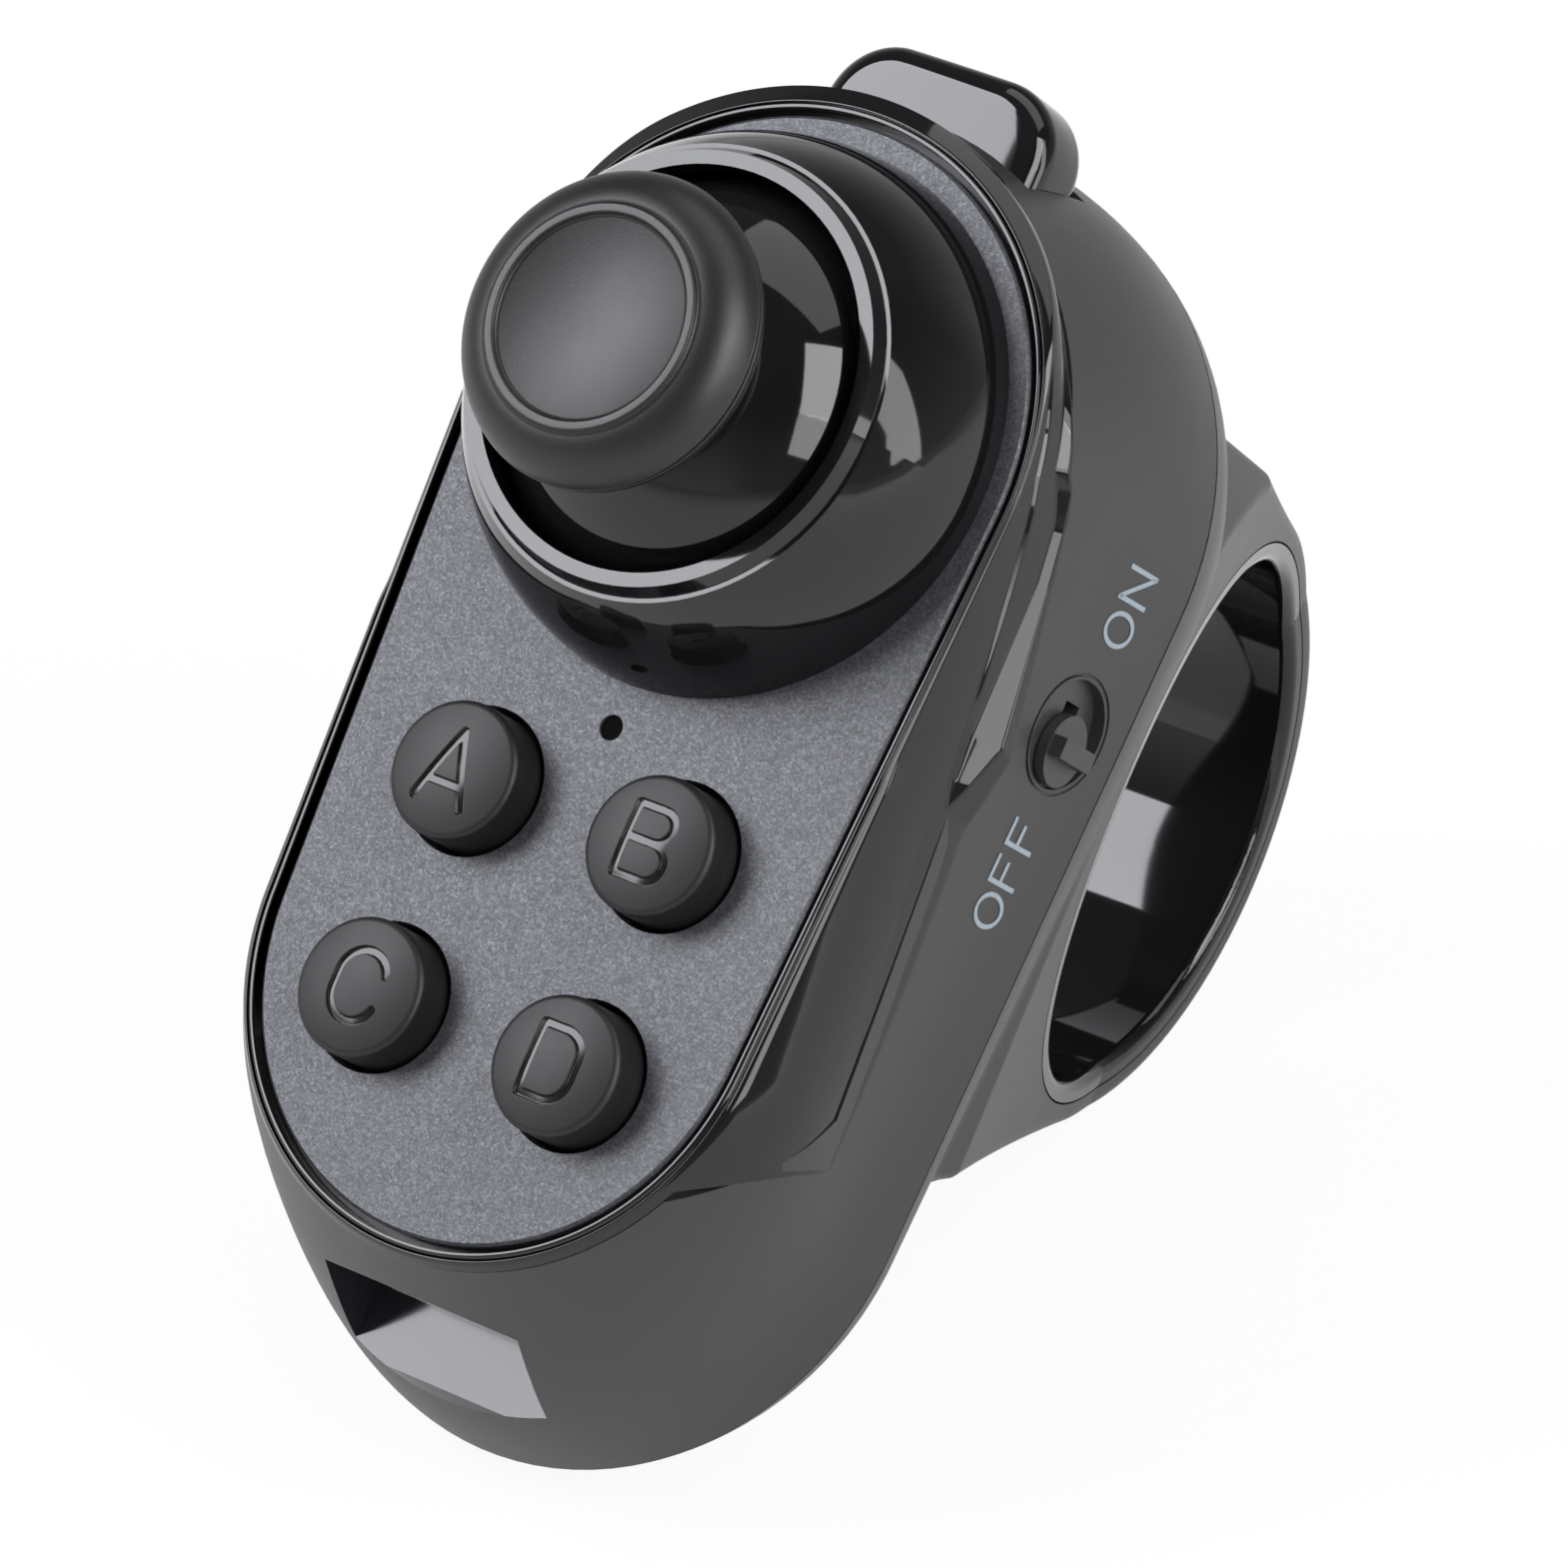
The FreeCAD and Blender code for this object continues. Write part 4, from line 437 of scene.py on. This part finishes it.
def round_ends(depth):
    """The radii of the tail's and the nose's round end at a depth, and where their middles lie
    along y: each is the cubic through the four moulded levels."""
    tail, tail_end, nose, nose_end = [
        np.polyval(np.polyfit(RIM_LEVELS, values, 3), depth)
        for values in (TAIL_RADII, TAIL_ENDS, NOSE_RADII, NOSE_ENDS)]
    return tail, nose, tail_end - tail, nose - nose_end


def housing(around, depth, grow):
    """The housing's outline at a depth, grown by some amount.  around runs from 0 to 5: nose
    arc, right flank, tail arc, left flank, nose arc.  A point is (R cos a, c + R sin a), and
    R and c go evenly from the nose's to the tail's along a flank, where a stays as it is."""
    tail, nose, tail_middle, nose_middle = round_ends(depth)
    lean = np.arcsin((tail - nose) / (tail_middle - nose_middle))
    knots = np.arange(6)
    share = np.interp(around, knots, (1, 1, 0, 0, 1, 1))
    angle = np.radians(np.interp(around, knots, (-90, 0, 0, 180, 180, 270)))
    angle = angle + lean * np.interp(around, knots, (0, -1, -1, 1, 1, 0))
    radius = tail + (nose - tail) * share + grow
    centre = tail_middle + (nose_middle - tail_middle) * share
    return radius * np.cos(angle), centre + radius * np.sin(angle)


def stations(count):
    """Values of around that are about evenly spaced along the outline."""
    lengths = np.cumsum((0.0, *STRETCHES))
    return np.interp(np.arange(count) / count * lengths[-1], lengths, np.arange(6))


def skin(name, grid, body, finish, round_columns=False):
    """A mesh whose vertices are grid[i, j], each joined to its neighbours, closed round its
    rows, and round its columns where asked, with poles merged and its faces turned outwards."""
    rows, columns = grid.shape[:2]
    index = np.arange(rows * columns).reshape(rows, columns)
    index = np.vstack([index, index[:1]])
    if round_columns:
        index = np.hstack([index, index[:, :1]])
    quads = np.stack([index[:-1, :-1], index[1:, :-1], index[1:, 1:], index[:-1, 1:]], axis=-1)
    mesh = bpy.data.meshes.new(name)
    mesh.from_pydata(placed(grid.reshape(-1, 3)), [], quads.reshape(-1, 4))
    closed = bmesh.new()
    closed.from_mesh(mesh)
    bmesh.ops.remove_doubles(closed, verts=closed.verts, dist=1e-8)
    bmesh.ops.recalc_face_normals(closed, faces=closed.faces)
    closed.to_mesh(mesh)
    closed.free()
    mesh.shade_smooth()
    mesh.materials.append(finish.material)
    piece = bpy.data.objects.new(name, mesh)
    bpy.context.scene.collection.objects.link(piece)
    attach(piece, body)
    return piece


def ramped(value, low, high):
    """0 below low, 1 above high, and 3 t ^ 2 - 2 t ^ 3 between them."""
    t = np.clip((value - low) / (high - low), 0, 1)
    return t * t * (3 - 2 * t)


gloss = Finish("polished_black_abs", (0.0055, 0.0055, 0.0062), 0.06, Specular_IOR_Level=0.5)
smears = gloss.noise(250.0, 3.0)
gloss.drive("Roughness", 0.03 + 0.04 * smears)

around = stations(STATIONS)[:, None]
_, y_rim = housing(around, FLANK_DEPTH, 0.0)
edge = np.interp(y_rim, EDGE_Y, EDGE_Z)
crease = np.interp(y_rim, CREASE_Y, CREASE_Z)
fold = np.interp(y_rim, FOLD_Y, FOLD_Z)
lip_top = np.minimum(np.interp(y_rim, LIP_Y, LIP_TOP), crease - CREASE_DROP)
lip_low = np.minimum(np.interp(y_rim, LIP_Y, LIP_LOW), lip_top - THINNEST)
creased = CREASE_OUT * ramped(y_rim, *CREASE_COMES) * ramped(-y_rim, *FLANK_GOES)
folded = FOLD_IN * ramped(-y_rim, *FOLD_GOES) * ramped(y_rim, *FOLD_COMES)
shoulder = SHOULDER_OUT * ramped(y_rim, *SHOULDER_COMES)
lip_out = np.maximum(lip_top - lip_low - THINNEST, 0) * ramped(-y_rim, *FLANK_GOES)
proud = PROUD * ramped(y_rim, *PROUD_COMES)


def facets(depth):
    """How far the trim's flank stands out: a bevel down at the crease, a slightly rounded bevel
    at the lip, a round shoulder at the tail, and a fold that is drawn in below the buttons."""
    down = np.clip((crease - depth) / CREASE_DROP, 0, 1)
    lip = np.clip((lip_top - depth) / np.maximum(lip_top - lip_low, THINNEST), 0, 1)
    over = np.clip((FACET_TOP - depth) / np.maximum(FACET_TOP - fold, SHORTEST), 0, 1)
    under = np.clip((depth - edge) / np.maximum(fold - edge, SHORTEST), 0, 1)
    bulge = shoulder * np.sqrt(np.clip(1 - ((depth - FACET_TOP) / SHOULDER_DROP) ** 2, 0, 1))
    return (proud + creased * (down - 1) + lip_out * lip * (1 + LIP_ROUND * (1 - lip)) + bulge
            - folded * np.minimum(over, under))


# Columns of the trim's section, as pairs of growth and depth, from the plate to the shell
level = np.zeros_like(y_rim)
columns = [(grow - creased * (grow > OUTER_BEAD), depth + level) for grow, depth in BEAD]
foot = edge + EDGE_ROUND
stops = [FACET_TOP + level, np.minimum(np.maximum(crease, fold), FACET_TOP),
         np.minimum(crease - CREASE_DROP, FACET_TOP), lip_top, lip_low, foot]
stops = [np.minimum(np.maximum(stop, foot + THINNEST * (6 - i)), FACET_TOP - THINNEST / 2 * i)
         for i, stop in enumerate(stops)]
for high, low, steps in zip(stops[:-1], stops[1:], FACET_STEPS):
    for t in np.linspace(0, 1, steps, endpoint=False):
        depth = high + (low - high) * t
        columns.append((facets(depth), depth))
for bend in np.linspace(0, math.pi / 2, 5):
    columns.append((facets(foot) - EDGE_ROUND * (1 - math.cos(bend)),
                    foot - EDGE_ROUND * math.sin(bend)))
columns += [(level - EDGE_IN, edge), (level - BACK_IN, edge * BACK_SHARE - BACK_DROP)]
trim_grow = np.hstack([grow for grow, _ in columns])
trim_depth = np.hstack([depth for _, depth in columns])
x, y = housing(around, trim_depth, trim_grow)
trim = skin("trim", np.dstack([x, y, trim_depth]), "root", gloss, round_columns=True)
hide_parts("trim_bezel")

# Stick tower, dome and ring liner
# Three separate mouldings in the same polished black ABS as the trim: the collar that the
# stick comes through, the dome under its cap, and the smooth liner pressed in the ring.

dress(gloss, "stick_tower", "stick_dome", "ring_liner")

# Trigger
# A polished black bar that comes out under the tail.  Its outer corners and edges are well
# rounded and its top has a slight crown.

TRIGGER_HALF = 6.2
TRIGGER_TOP = -4.3
TRIGGER_LOW = -9.0
TRIGGER_REACH = 18.9
TRIGGER_BACK = 12.2
TRIGGER_CORNER = 3.4
TRIGGER_EDGE = 1.15
TRIGGER_CROWN = 55.0
SIDE_STEPS = 12
FRONT_STEPS = 15
CORNER_STEPS = 24
EDGE_STEPS = 14


def both_halves(line, sign):
    """A line from the right side to the middle, and its mirror image on to the left side."""
    return np.concatenate([line, sign * line[-2::-1]])


# The outline in plan, and the way out of it at each of its points
bend = np.linspace(0, math.pi / 2, CORNER_STEPS)
corner_x = TRIGGER_HALF - TRIGGER_CORNER * (1 - np.cos(bend))
corner_y = TRIGGER_REACH - TRIGGER_CORNER * (1 - np.sin(bend))
plan_x = both_halves(np.concatenate([np.full(SIDE_STEPS, TRIGGER_HALF), corner_x,
                                     np.linspace(corner_x[-1], 0, FRONT_STEPS + 1)[1:]]), -1)
plan_y = both_halves(np.concatenate([np.linspace(TRIGGER_BACK, corner_y[0], SIDE_STEPS + 1)[:-1],
                                     corner_y, np.full(FRONT_STEPS, TRIGGER_REACH)]), 1)
out_x = both_halves(np.concatenate([np.ones(SIDE_STEPS), np.cos(bend), np.zeros(FRONT_STEPS)]), -1)
out_y = both_halves(np.concatenate([np.zeros(SIDE_STEPS), np.sin(bend), np.ones(FRONT_STEPS)]), 1)

# The rounded edge is carried along the outline, then the top and the underside close it
bend = np.linspace(0, math.pi / 2, EDGE_STEPS)
inset = TRIGGER_EDGE * np.concatenate([1 - np.sin(bend), 1 - np.cos(bend)])
edge_z = np.concatenate([TRIGGER_TOP - TRIGGER_EDGE * (1 - np.cos(bend)),
                         TRIGGER_LOW + TRIGGER_EDGE * (1 - np.sin(bend))])
ring_x = plan_x[:, None] - inset * out_x[:, None]
ring_y = plan_y[:, None] - inset * out_y[:, None]
ring_z = np.broadcast_to(edge_z, ring_x.shape)
share = np.linspace(0, 1, CORNER_STEPS)
top_x = ring_x[:, :1] * share
low_x = ring_x[:, -1:] * share[::-1]
top_y = TRIGGER_BACK + (ring_y[:, :1] - TRIGGER_BACK) * share
low_y = TRIGGER_BACK + (ring_y[:, -1:] - TRIGGER_BACK) * share[::-1]
x = np.hstack([top_x, ring_x, low_x])
y = np.hstack([top_y, ring_y, low_y])
z = np.hstack([np.full(top_x.shape, TRIGGER_TOP), ring_z, np.full(low_x.shape, TRIGGER_LOW)])
z = z - x ** 2 / (2 * TRIGGER_CROWN) * (z > (TRIGGER_TOP + TRIGGER_LOW) / 2)
trigger = skin("trigger_bar", np.dstack([x, y, z]), "trigger", gloss)
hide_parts("trigger_button")

# Switch marks
# ON and OFF beside the slide switch, pad-printed in pale blue-grey ink on the side wall.
# Each row is a letter, where its middle lies along y, and half its width.

LETTER_HEIGHT = 2.25
INK_WIDTH = 0.23
INK_STEP = 0.09
INK_LIFT = 0.03
LAID_FROM = 1.0
MARK_DEPTH = -10.55
ARM_HEIGHT = 0.1
ARM_SHARE = 0.7
SLANT_IN = 0.02
MARKS = (("O", -16.15, 0.86), ("F", -14.25, 0.62), ("F", -12.45, 0.62),
         ("O", -2.30, 0.86), ("N", -0.22, 0.72))
half_pen = INK_WIDTH / 2
tall = LETTER_HEIGHT / 2 - half_pen


def oval(half_width, half_height):
    """An oval line: (a sin t, b cos t) for t from 0 to 2 pi."""
    t = np.linspace(0, 2 * math.pi, 60)
    return np.stack([half_width * np.sin(t), half_height * np.cos(t)], axis=1)


def straight(start, end):
    """Points evenly spaced from start to end, one step apart."""
    start, end = np.array(start), np.array(end)
    count = max(int(np.linalg.norm(end - start) / INK_STEP), 2)
    return start + (end - start) * np.linspace(0, 1, count)[:, None]


def ink_lines(letter, wide):
    """The centre lines of a printed letter, about its own middle."""
    if letter == "O":
        return [oval(wide - half_pen, tall)]
    if letter == "F":
        return [straight((-wide, -tall - half_pen), (-wide, tall + half_pen)),
                straight((-wide + half_pen, tall), (wide, tall)),
                straight((-wide + half_pen, ARM_HEIGHT), (wide * ARM_SHARE, ARM_HEIGHT))]
    return [straight((-wide, -tall - half_pen), (-wide, tall + half_pen)),
            straight((-wide + SLANT_IN, tall), (wide - SLANT_IN, -tall)),
            straight((wide, -tall - half_pen), (wide, tall + half_pen))]


def inked(line):
    """A band along a line: line + s * normal for s across the width, on the side wall."""
    run = np.gradient(line, axis=0)
    run /= np.linalg.norm(run, axis=1)[:, None]
    normal = np.stack([-run[:, 1], run[:, 0]], axis=1)
    across = np.linspace(-0.5, 0.5, 5) * INK_WIDTH
    return line[:, None] + across[None, :, None] * normal[:, None]


def wall_x(y, z):
    """How far out the switch side's wall lies, on the line that touches both end circles:
    (R + (y - c) s) / sqrt(1 - s ^ 2), where s is the change of radius per length."""
    tail, nose, tail_middle, nose_middle = round_ends(z)
    slope = (tail - nose) / (tail_middle - nose_middle)
    return (tail + (y - tail_middle) * slope) / np.sqrt(1 - slope ** 2)


ink = Finish("pale_print", (0.23, 0.27, 0.31), 0.5, Specular_IOR_Level=0.4)
speck = ink.noise(6000.0, 2.0)
ink.drive("Base Color", ink.between(speck, (0.20, 0.24, 0.28), (0.27, 0.32, 0.36)))
vertices, quads = [], []
for letter, y_middle, wide in MARKS:
    for line in ink_lines(letter, wide):
        band = inked(line)
        index = np.arange(band[..., 0].size).reshape(band.shape[:2]) + sum(map(len, vertices))
        y, z = y_middle + band[..., 0].ravel(), MARK_DEPTH + band[..., 1].ravel()
        vertices.append(np.stack([wall_x(y, z) + LAID_FROM, y, z], axis=1))
        quads.append(np.stack([index[:-1, :-1], index[1:, :-1], index[1:, 1:], index[:-1, 1:]],
                              axis=-1).reshape(-1, 4))
mesh = bpy.data.meshes.new("switch_marks")
mesh.from_pydata(placed(np.vstack(vertices)), [], np.vstack(quads))
mesh.materials.append(ink.material)
marks = bpy.data.objects.new("switch_marks", mesh)
bpy.context.scene.collection.objects.link(marks)
laid = marks.modifiers.new("laid_on_wall", "SHRINKWRAP")
laid.target = frame["nodes"]["front_shell"]
laid.wrap_method = "PROJECT"
laid.use_project_x = True
laid.use_positive_direction = False
laid.use_negative_direction = True
laid.offset = INK_LIFT * MM
bpy.context.view_layer.update()
flat = bpy.data.meshes.new_from_object(marks.evaluated_get(bpy.context.evaluated_depsgraph_get()))
marks.modifiers.clear()
marks.data = flat
outwards = bmesh.new()
outwards.from_mesh(flat)
for face in outwards.faces:
    if face.normal.x < 0:
        face.normal_flip()
outwards.to_mesh(flat)
outwards.free()
flat.shade_smooth()
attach(marks, "root")

# Face plate
# A moulded sheet with a dark finish full of fine metal flakes.  It lies on the front shell's
# deck inside the trim, and the stick's tower sits in its large hole.

plate = Finish("flake_film", (0.05, 0.052, 0.058), 0.42, Specular_IOR_Level=0.4)
flake, tilt = plate.cells(9500.0)
fine, _ = plate.cells(19000.0)
cloud = plate.noise(1600.0, 2.0)
shine = (flake ** 2.0 * 0.55 + fine ** 3.0 * 0.55 + (cloud - 0.5) * 0.25).clamped()
plate.drive("Base Color", plate.between(shine, (0.045, 0.0465, 0.051), (0.140, 0.143, 0.158)))
plate.drive("Metallic", 0.30 + 0.25 * shine)
plate.drive("Roughness", 0.40 + 0.08 * tilt)
plate.drive("Normal", plate.bump(tilt, 0.16, 0.00003))
dress(plate, "face_plate")

# Light pipe
# A smoked clear pin behind the pinhole in the plate, dark until the light under it is on.

smoked = Finish("smoked_pipe", (0.0015, 0.0015, 0.0015), 0.6, Specular_IOR_Level=0.03)
haze = smoked.noise(3000.0, 2.0)
smoked.drive("Roughness", 0.5 + 0.2 * haze)
dress(smoked, "light_pipe")

# Thumb cap
# Soft rubber-feel moulding with a very fine matte grain, pushed on the stick's shaft.  It has
# a shallow dish inside a fine raised ring, then a round shoulder.

CAP_TOP = 15.0
CAP_UNDER = 11.2
CAP_GIRTH = 12.9
CAP_OUTER = 7.3
CAP_WAIST = 5.7
RING_OUTER = 5.2
RING_INNER = 4.72
RING_HIGH = 0.22
RING_TURN = 0.11
RING_FOOT = 0.03
DISH = 0.55
DISH_MARGIN = 0.06
SHOULDER_IN = 4.954
SHOULDER_LOW = 12.392
SHOULDER_ROUND = 2.4
SHOULDER_SPAN = (8.3, 77.8)
CAP_COLUMNS = 192

soft = Finish("soft_touch_black", (0.0075, 0.0075, 0.008), 0.55, Specular_IOR_Level=0.5)
dust = soft.noise(14000.0, 2.0)
patch = soft.noise(500.0, 2.0)
soft.drive("Roughness", 0.34 + 0.06 * patch + 0.06 * dust)
soft.drive("Normal", soft.bump(dust, 0.18, 0.00003))

# The section from the dish's middle out over the ring and the shoulder, then in underneath
dish = np.linspace(0, 1, 40)
bend = np.linspace(0, math.pi / 2, 9)
shoulder_bend = np.radians(np.linspace(*SHOULDER_SPAN, 24))
ring_foot = CAP_TOP - RING_HIGH
cap_radius = np.concatenate([dish * (RING_INNER - DISH_MARGIN),
                             RING_INNER + RING_TURN * (1 - np.cos(bend)),
                             RING_OUTER - RING_TURN * (1 - np.sin(bend)),
                             [RING_OUTER + RING_FOOT],
                             SHOULDER_IN + SHOULDER_ROUND * np.sin(shoulder_bend),
                             CAP_OUTER - (CAP_OUTER - CAP_WAIST) * (1 - np.cos(bend)),
                             [0.0]])
cap_height = np.concatenate([ring_foot - DISH * (1 - dish ** 2),
                             CAP_TOP - RING_TURN * (1 - np.sin(bend)),
                             CAP_TOP - RING_TURN * (1 - np.cos(bend)),
                             [ring_foot + RING_FOOT],
                             SHOULDER_LOW + SHOULDER_ROUND * np.cos(shoulder_bend),
                             CAP_GIRTH - (CAP_GIRTH - CAP_UNDER) * np.sin(bend),
                             [CAP_UNDER]])
around_cap = np.linspace(0, 2 * math.pi, CAP_COLUMNS, endpoint=False)[:, None]
grid = np.dstack([cap_radius * np.cos(around_cap), STICK_Y + cap_radius * np.sin(around_cap),
                  np.broadcast_to(cap_height, (CAP_COLUMNS, len(cap_height)))])
cap = skin("thumb_cap", grid, "stick", soft)
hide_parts("stick_cap")

# Face buttons
# Four domed caps of soft black plastic.  Their letters are sunk, with polished floors, and a
# flange under the deck keeps each cap in its hole.

BUTTON_X = 5.5
BUTTON_Y = -25.05
BUTTON_ROWS = 10.55
BUTTON_PLACES = (("a", -1, 1), ("b", 1, 1), ("c", -1, -1), ("d", 1, -1))
CROWN_STEPS = 110
BUTTON_COLUMNS = 288
CAP_RADIUS = 3.24
CAP_HEIGHT = 2.46
CROWN_RADIUS = 14.0
CAP_ROUND = 0.32
STROKE = 0.38
SUNK = 0.19
WALL = 0.045
LETTER_REACH = 2.5
CAP_SIDE = ((3.24, 0.8), (3.24, -2.72), (3.94, -2.72), (3.94, -3.42), (1.6, -3.42), (1.6, -4.6),
            (0.0, -4.6))

# The centre lines: a line's two ends, or an arc's middle, radius, and first and last angle
LETTERS = {
    "a": (("line", -1.3, -1.65, 0.0, 1.75),
          ("line", 0.0, 1.75, 1.3, -1.65),
          ("line", -0.95, -0.72, 0.95, -0.72)),
    "b": (("line", -1.1, -1.65, -1.1, 1.65),
          ("line", -1.1, 1.65, 0.3, 1.65),
          ("arc", 0.3, 0.87, 0.78, -90, 90),
          ("line", -1.1, 0.09, 0.45, 0.09),
          ("arc", 0.4, -0.78, 0.87, -90, 90),
          ("line", -1.1, -1.65, 0.4, -1.65)),
    "c": (("arc", 0.1, 0.4, 1.25, 20, 180),
          ("line", -1.15, 0.4, -1.15, -0.4),
          ("arc", 0.1, -0.4, 1.25, 180, 340)),
    "d": (("line", -1.15, -1.65, -1.15, 1.65),
          ("line", -1.15, 1.65, 0.05, 1.65),
          ("arc", 0.05, 0.45, 1.2, 0, 90),
          ("line", 1.25, 0.45, 1.25, -0.45),
          ("arc", 0.05, -0.45, 1.2, -90, 0),
          ("line", -1.15, -1.65, 0.05, -1.65)),
}


def from_stroke(x, y, stroke):
    """Distance of points from a line's or an arc's centre line: from the point at t along the
    line, or at the angle on the arc, that lies nearest to them."""
    if stroke[0] == "line":
        x0, y0, x1, y1 = stroke[1:]
        run_x, run_y = x1 - x0, y1 - y0
        t = np.clip(((x - x0) * run_x + (y - y0) * run_y) / (run_x ** 2 + run_y ** 2), 0, 1)
        return np.hypot(x - x0 - t * run_x, y - y0 - t * run_y)
    middle_x, middle_y, radius, start, stop = stroke[1:]
    half_span = math.radians(stop - start) / 2
    halfway = math.radians(start + stop) / 2
    turned = np.arctan2(y - middle_y, x - middle_x) - halfway
    turned = np.clip((turned + math.pi) % (2 * math.pi) - math.pi, -half_span, half_span) + halfway
    return np.hypot(x - middle_x - radius * np.cos(turned), y - middle_y - radius * np.sin(turned))


def crown_at(squared_radius):
    """Height of the cap's crown, a part of a sphere: H - R + sqrt(R ^ 2 - r ^ 2)."""
    return CAP_HEIGHT - CROWN_RADIUS + np.sqrt(CROWN_RADIUS ** 2 - squared_radius)


def button_section():
    """Radius and height from the crown's middle, over the rounded edge, down to the stem.  The
    edge leaves the crown along its slope and ends upright."""
    inner = CAP_RADIUS - CAP_ROUND
    crown = np.linspace(0, inner, CROWN_STEPS)
    crown_height = crown_at(crown ** 2)
    start = math.pi / 2 - math.asin(inner / CROWN_RADIUS)
    bend = np.linspace(start, 0, 14)[1:]
    low = crown_height[-1] - CAP_ROUND * math.sin(start)
    edge_radius = inner + CAP_ROUND * (np.cos(bend) - math.cos(start)) / (1 - math.cos(start))
    edge_height = low + CAP_ROUND * np.sin(bend)
    side = np.array(CAP_SIDE)
    return (np.concatenate([crown, edge_radius, side[:, 0]]),
            np.concatenate([crown_height, edge_height, side[:, 1]]))


button_black = Finish("button_black", (0.0075, 0.0075, 0.008), 0.5, Specular_IOR_Level=0.42)
polished = button_black.node("ShaderNodeAttribute", {"attribute_name": "sunk"}, output="Fac")
dust = button_black.noise(14000.0, 2.0)
patch = button_black.noise(500.0, 2.0)
matte_roughness = 0.40 + 0.06 * patch + 0.06 * dust
button_black.drive("Roughness", matte_roughness * (1 - polished) + 0.12 * polished)
button_black.drive("Normal", button_black.bump(dust * (1 - polished), 0.18, 0.00003))

around_button = np.linspace(0, 2 * math.pi, BUTTON_COLUMNS, endpoint=False)[:, None]
radius, height = button_section()
x, y = radius * np.cos(around_button), radius * np.sin(around_button)
for letter, column, row in BUTTON_PLACES:
    middle = np.array([column * BUTTON_X, BUTTON_Y + row * BUTTON_ROWS / 2, 0])
    distance = np.min([from_stroke(x, y, stroke) for stroke in LETTERS[letter]], axis=0)
    groove = 1 - ramped(distance, STROKE / 2 - WALL / 2, STROKE / 2 + WALL / 2)
    groove *= np.arange(len(radius)) < CROWN_STEPS
    grid = np.dstack([x, y, height - SUNK * groove]) + middle
    button = skin("button_" + letter + "_cap", grid, "button_" + letter, button_black)
    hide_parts("button_" + letter)
    local = np.array([vertex.co for vertex in button.data.vertices]) - np.array(face_origin)
    local = local @ FACE.T / MM - middle
    squared = local[:, 0] ** 2 + local[:, 1] ** 2
    depth = np.clip((crown_at(squared) - local[:, 2]) / SUNK, 0, 1) * (squared < LETTER_REACH ** 2)
    button.data.attributes.new("sunk", "FLOAT", "POINT").data.foreach_set("value", depth)
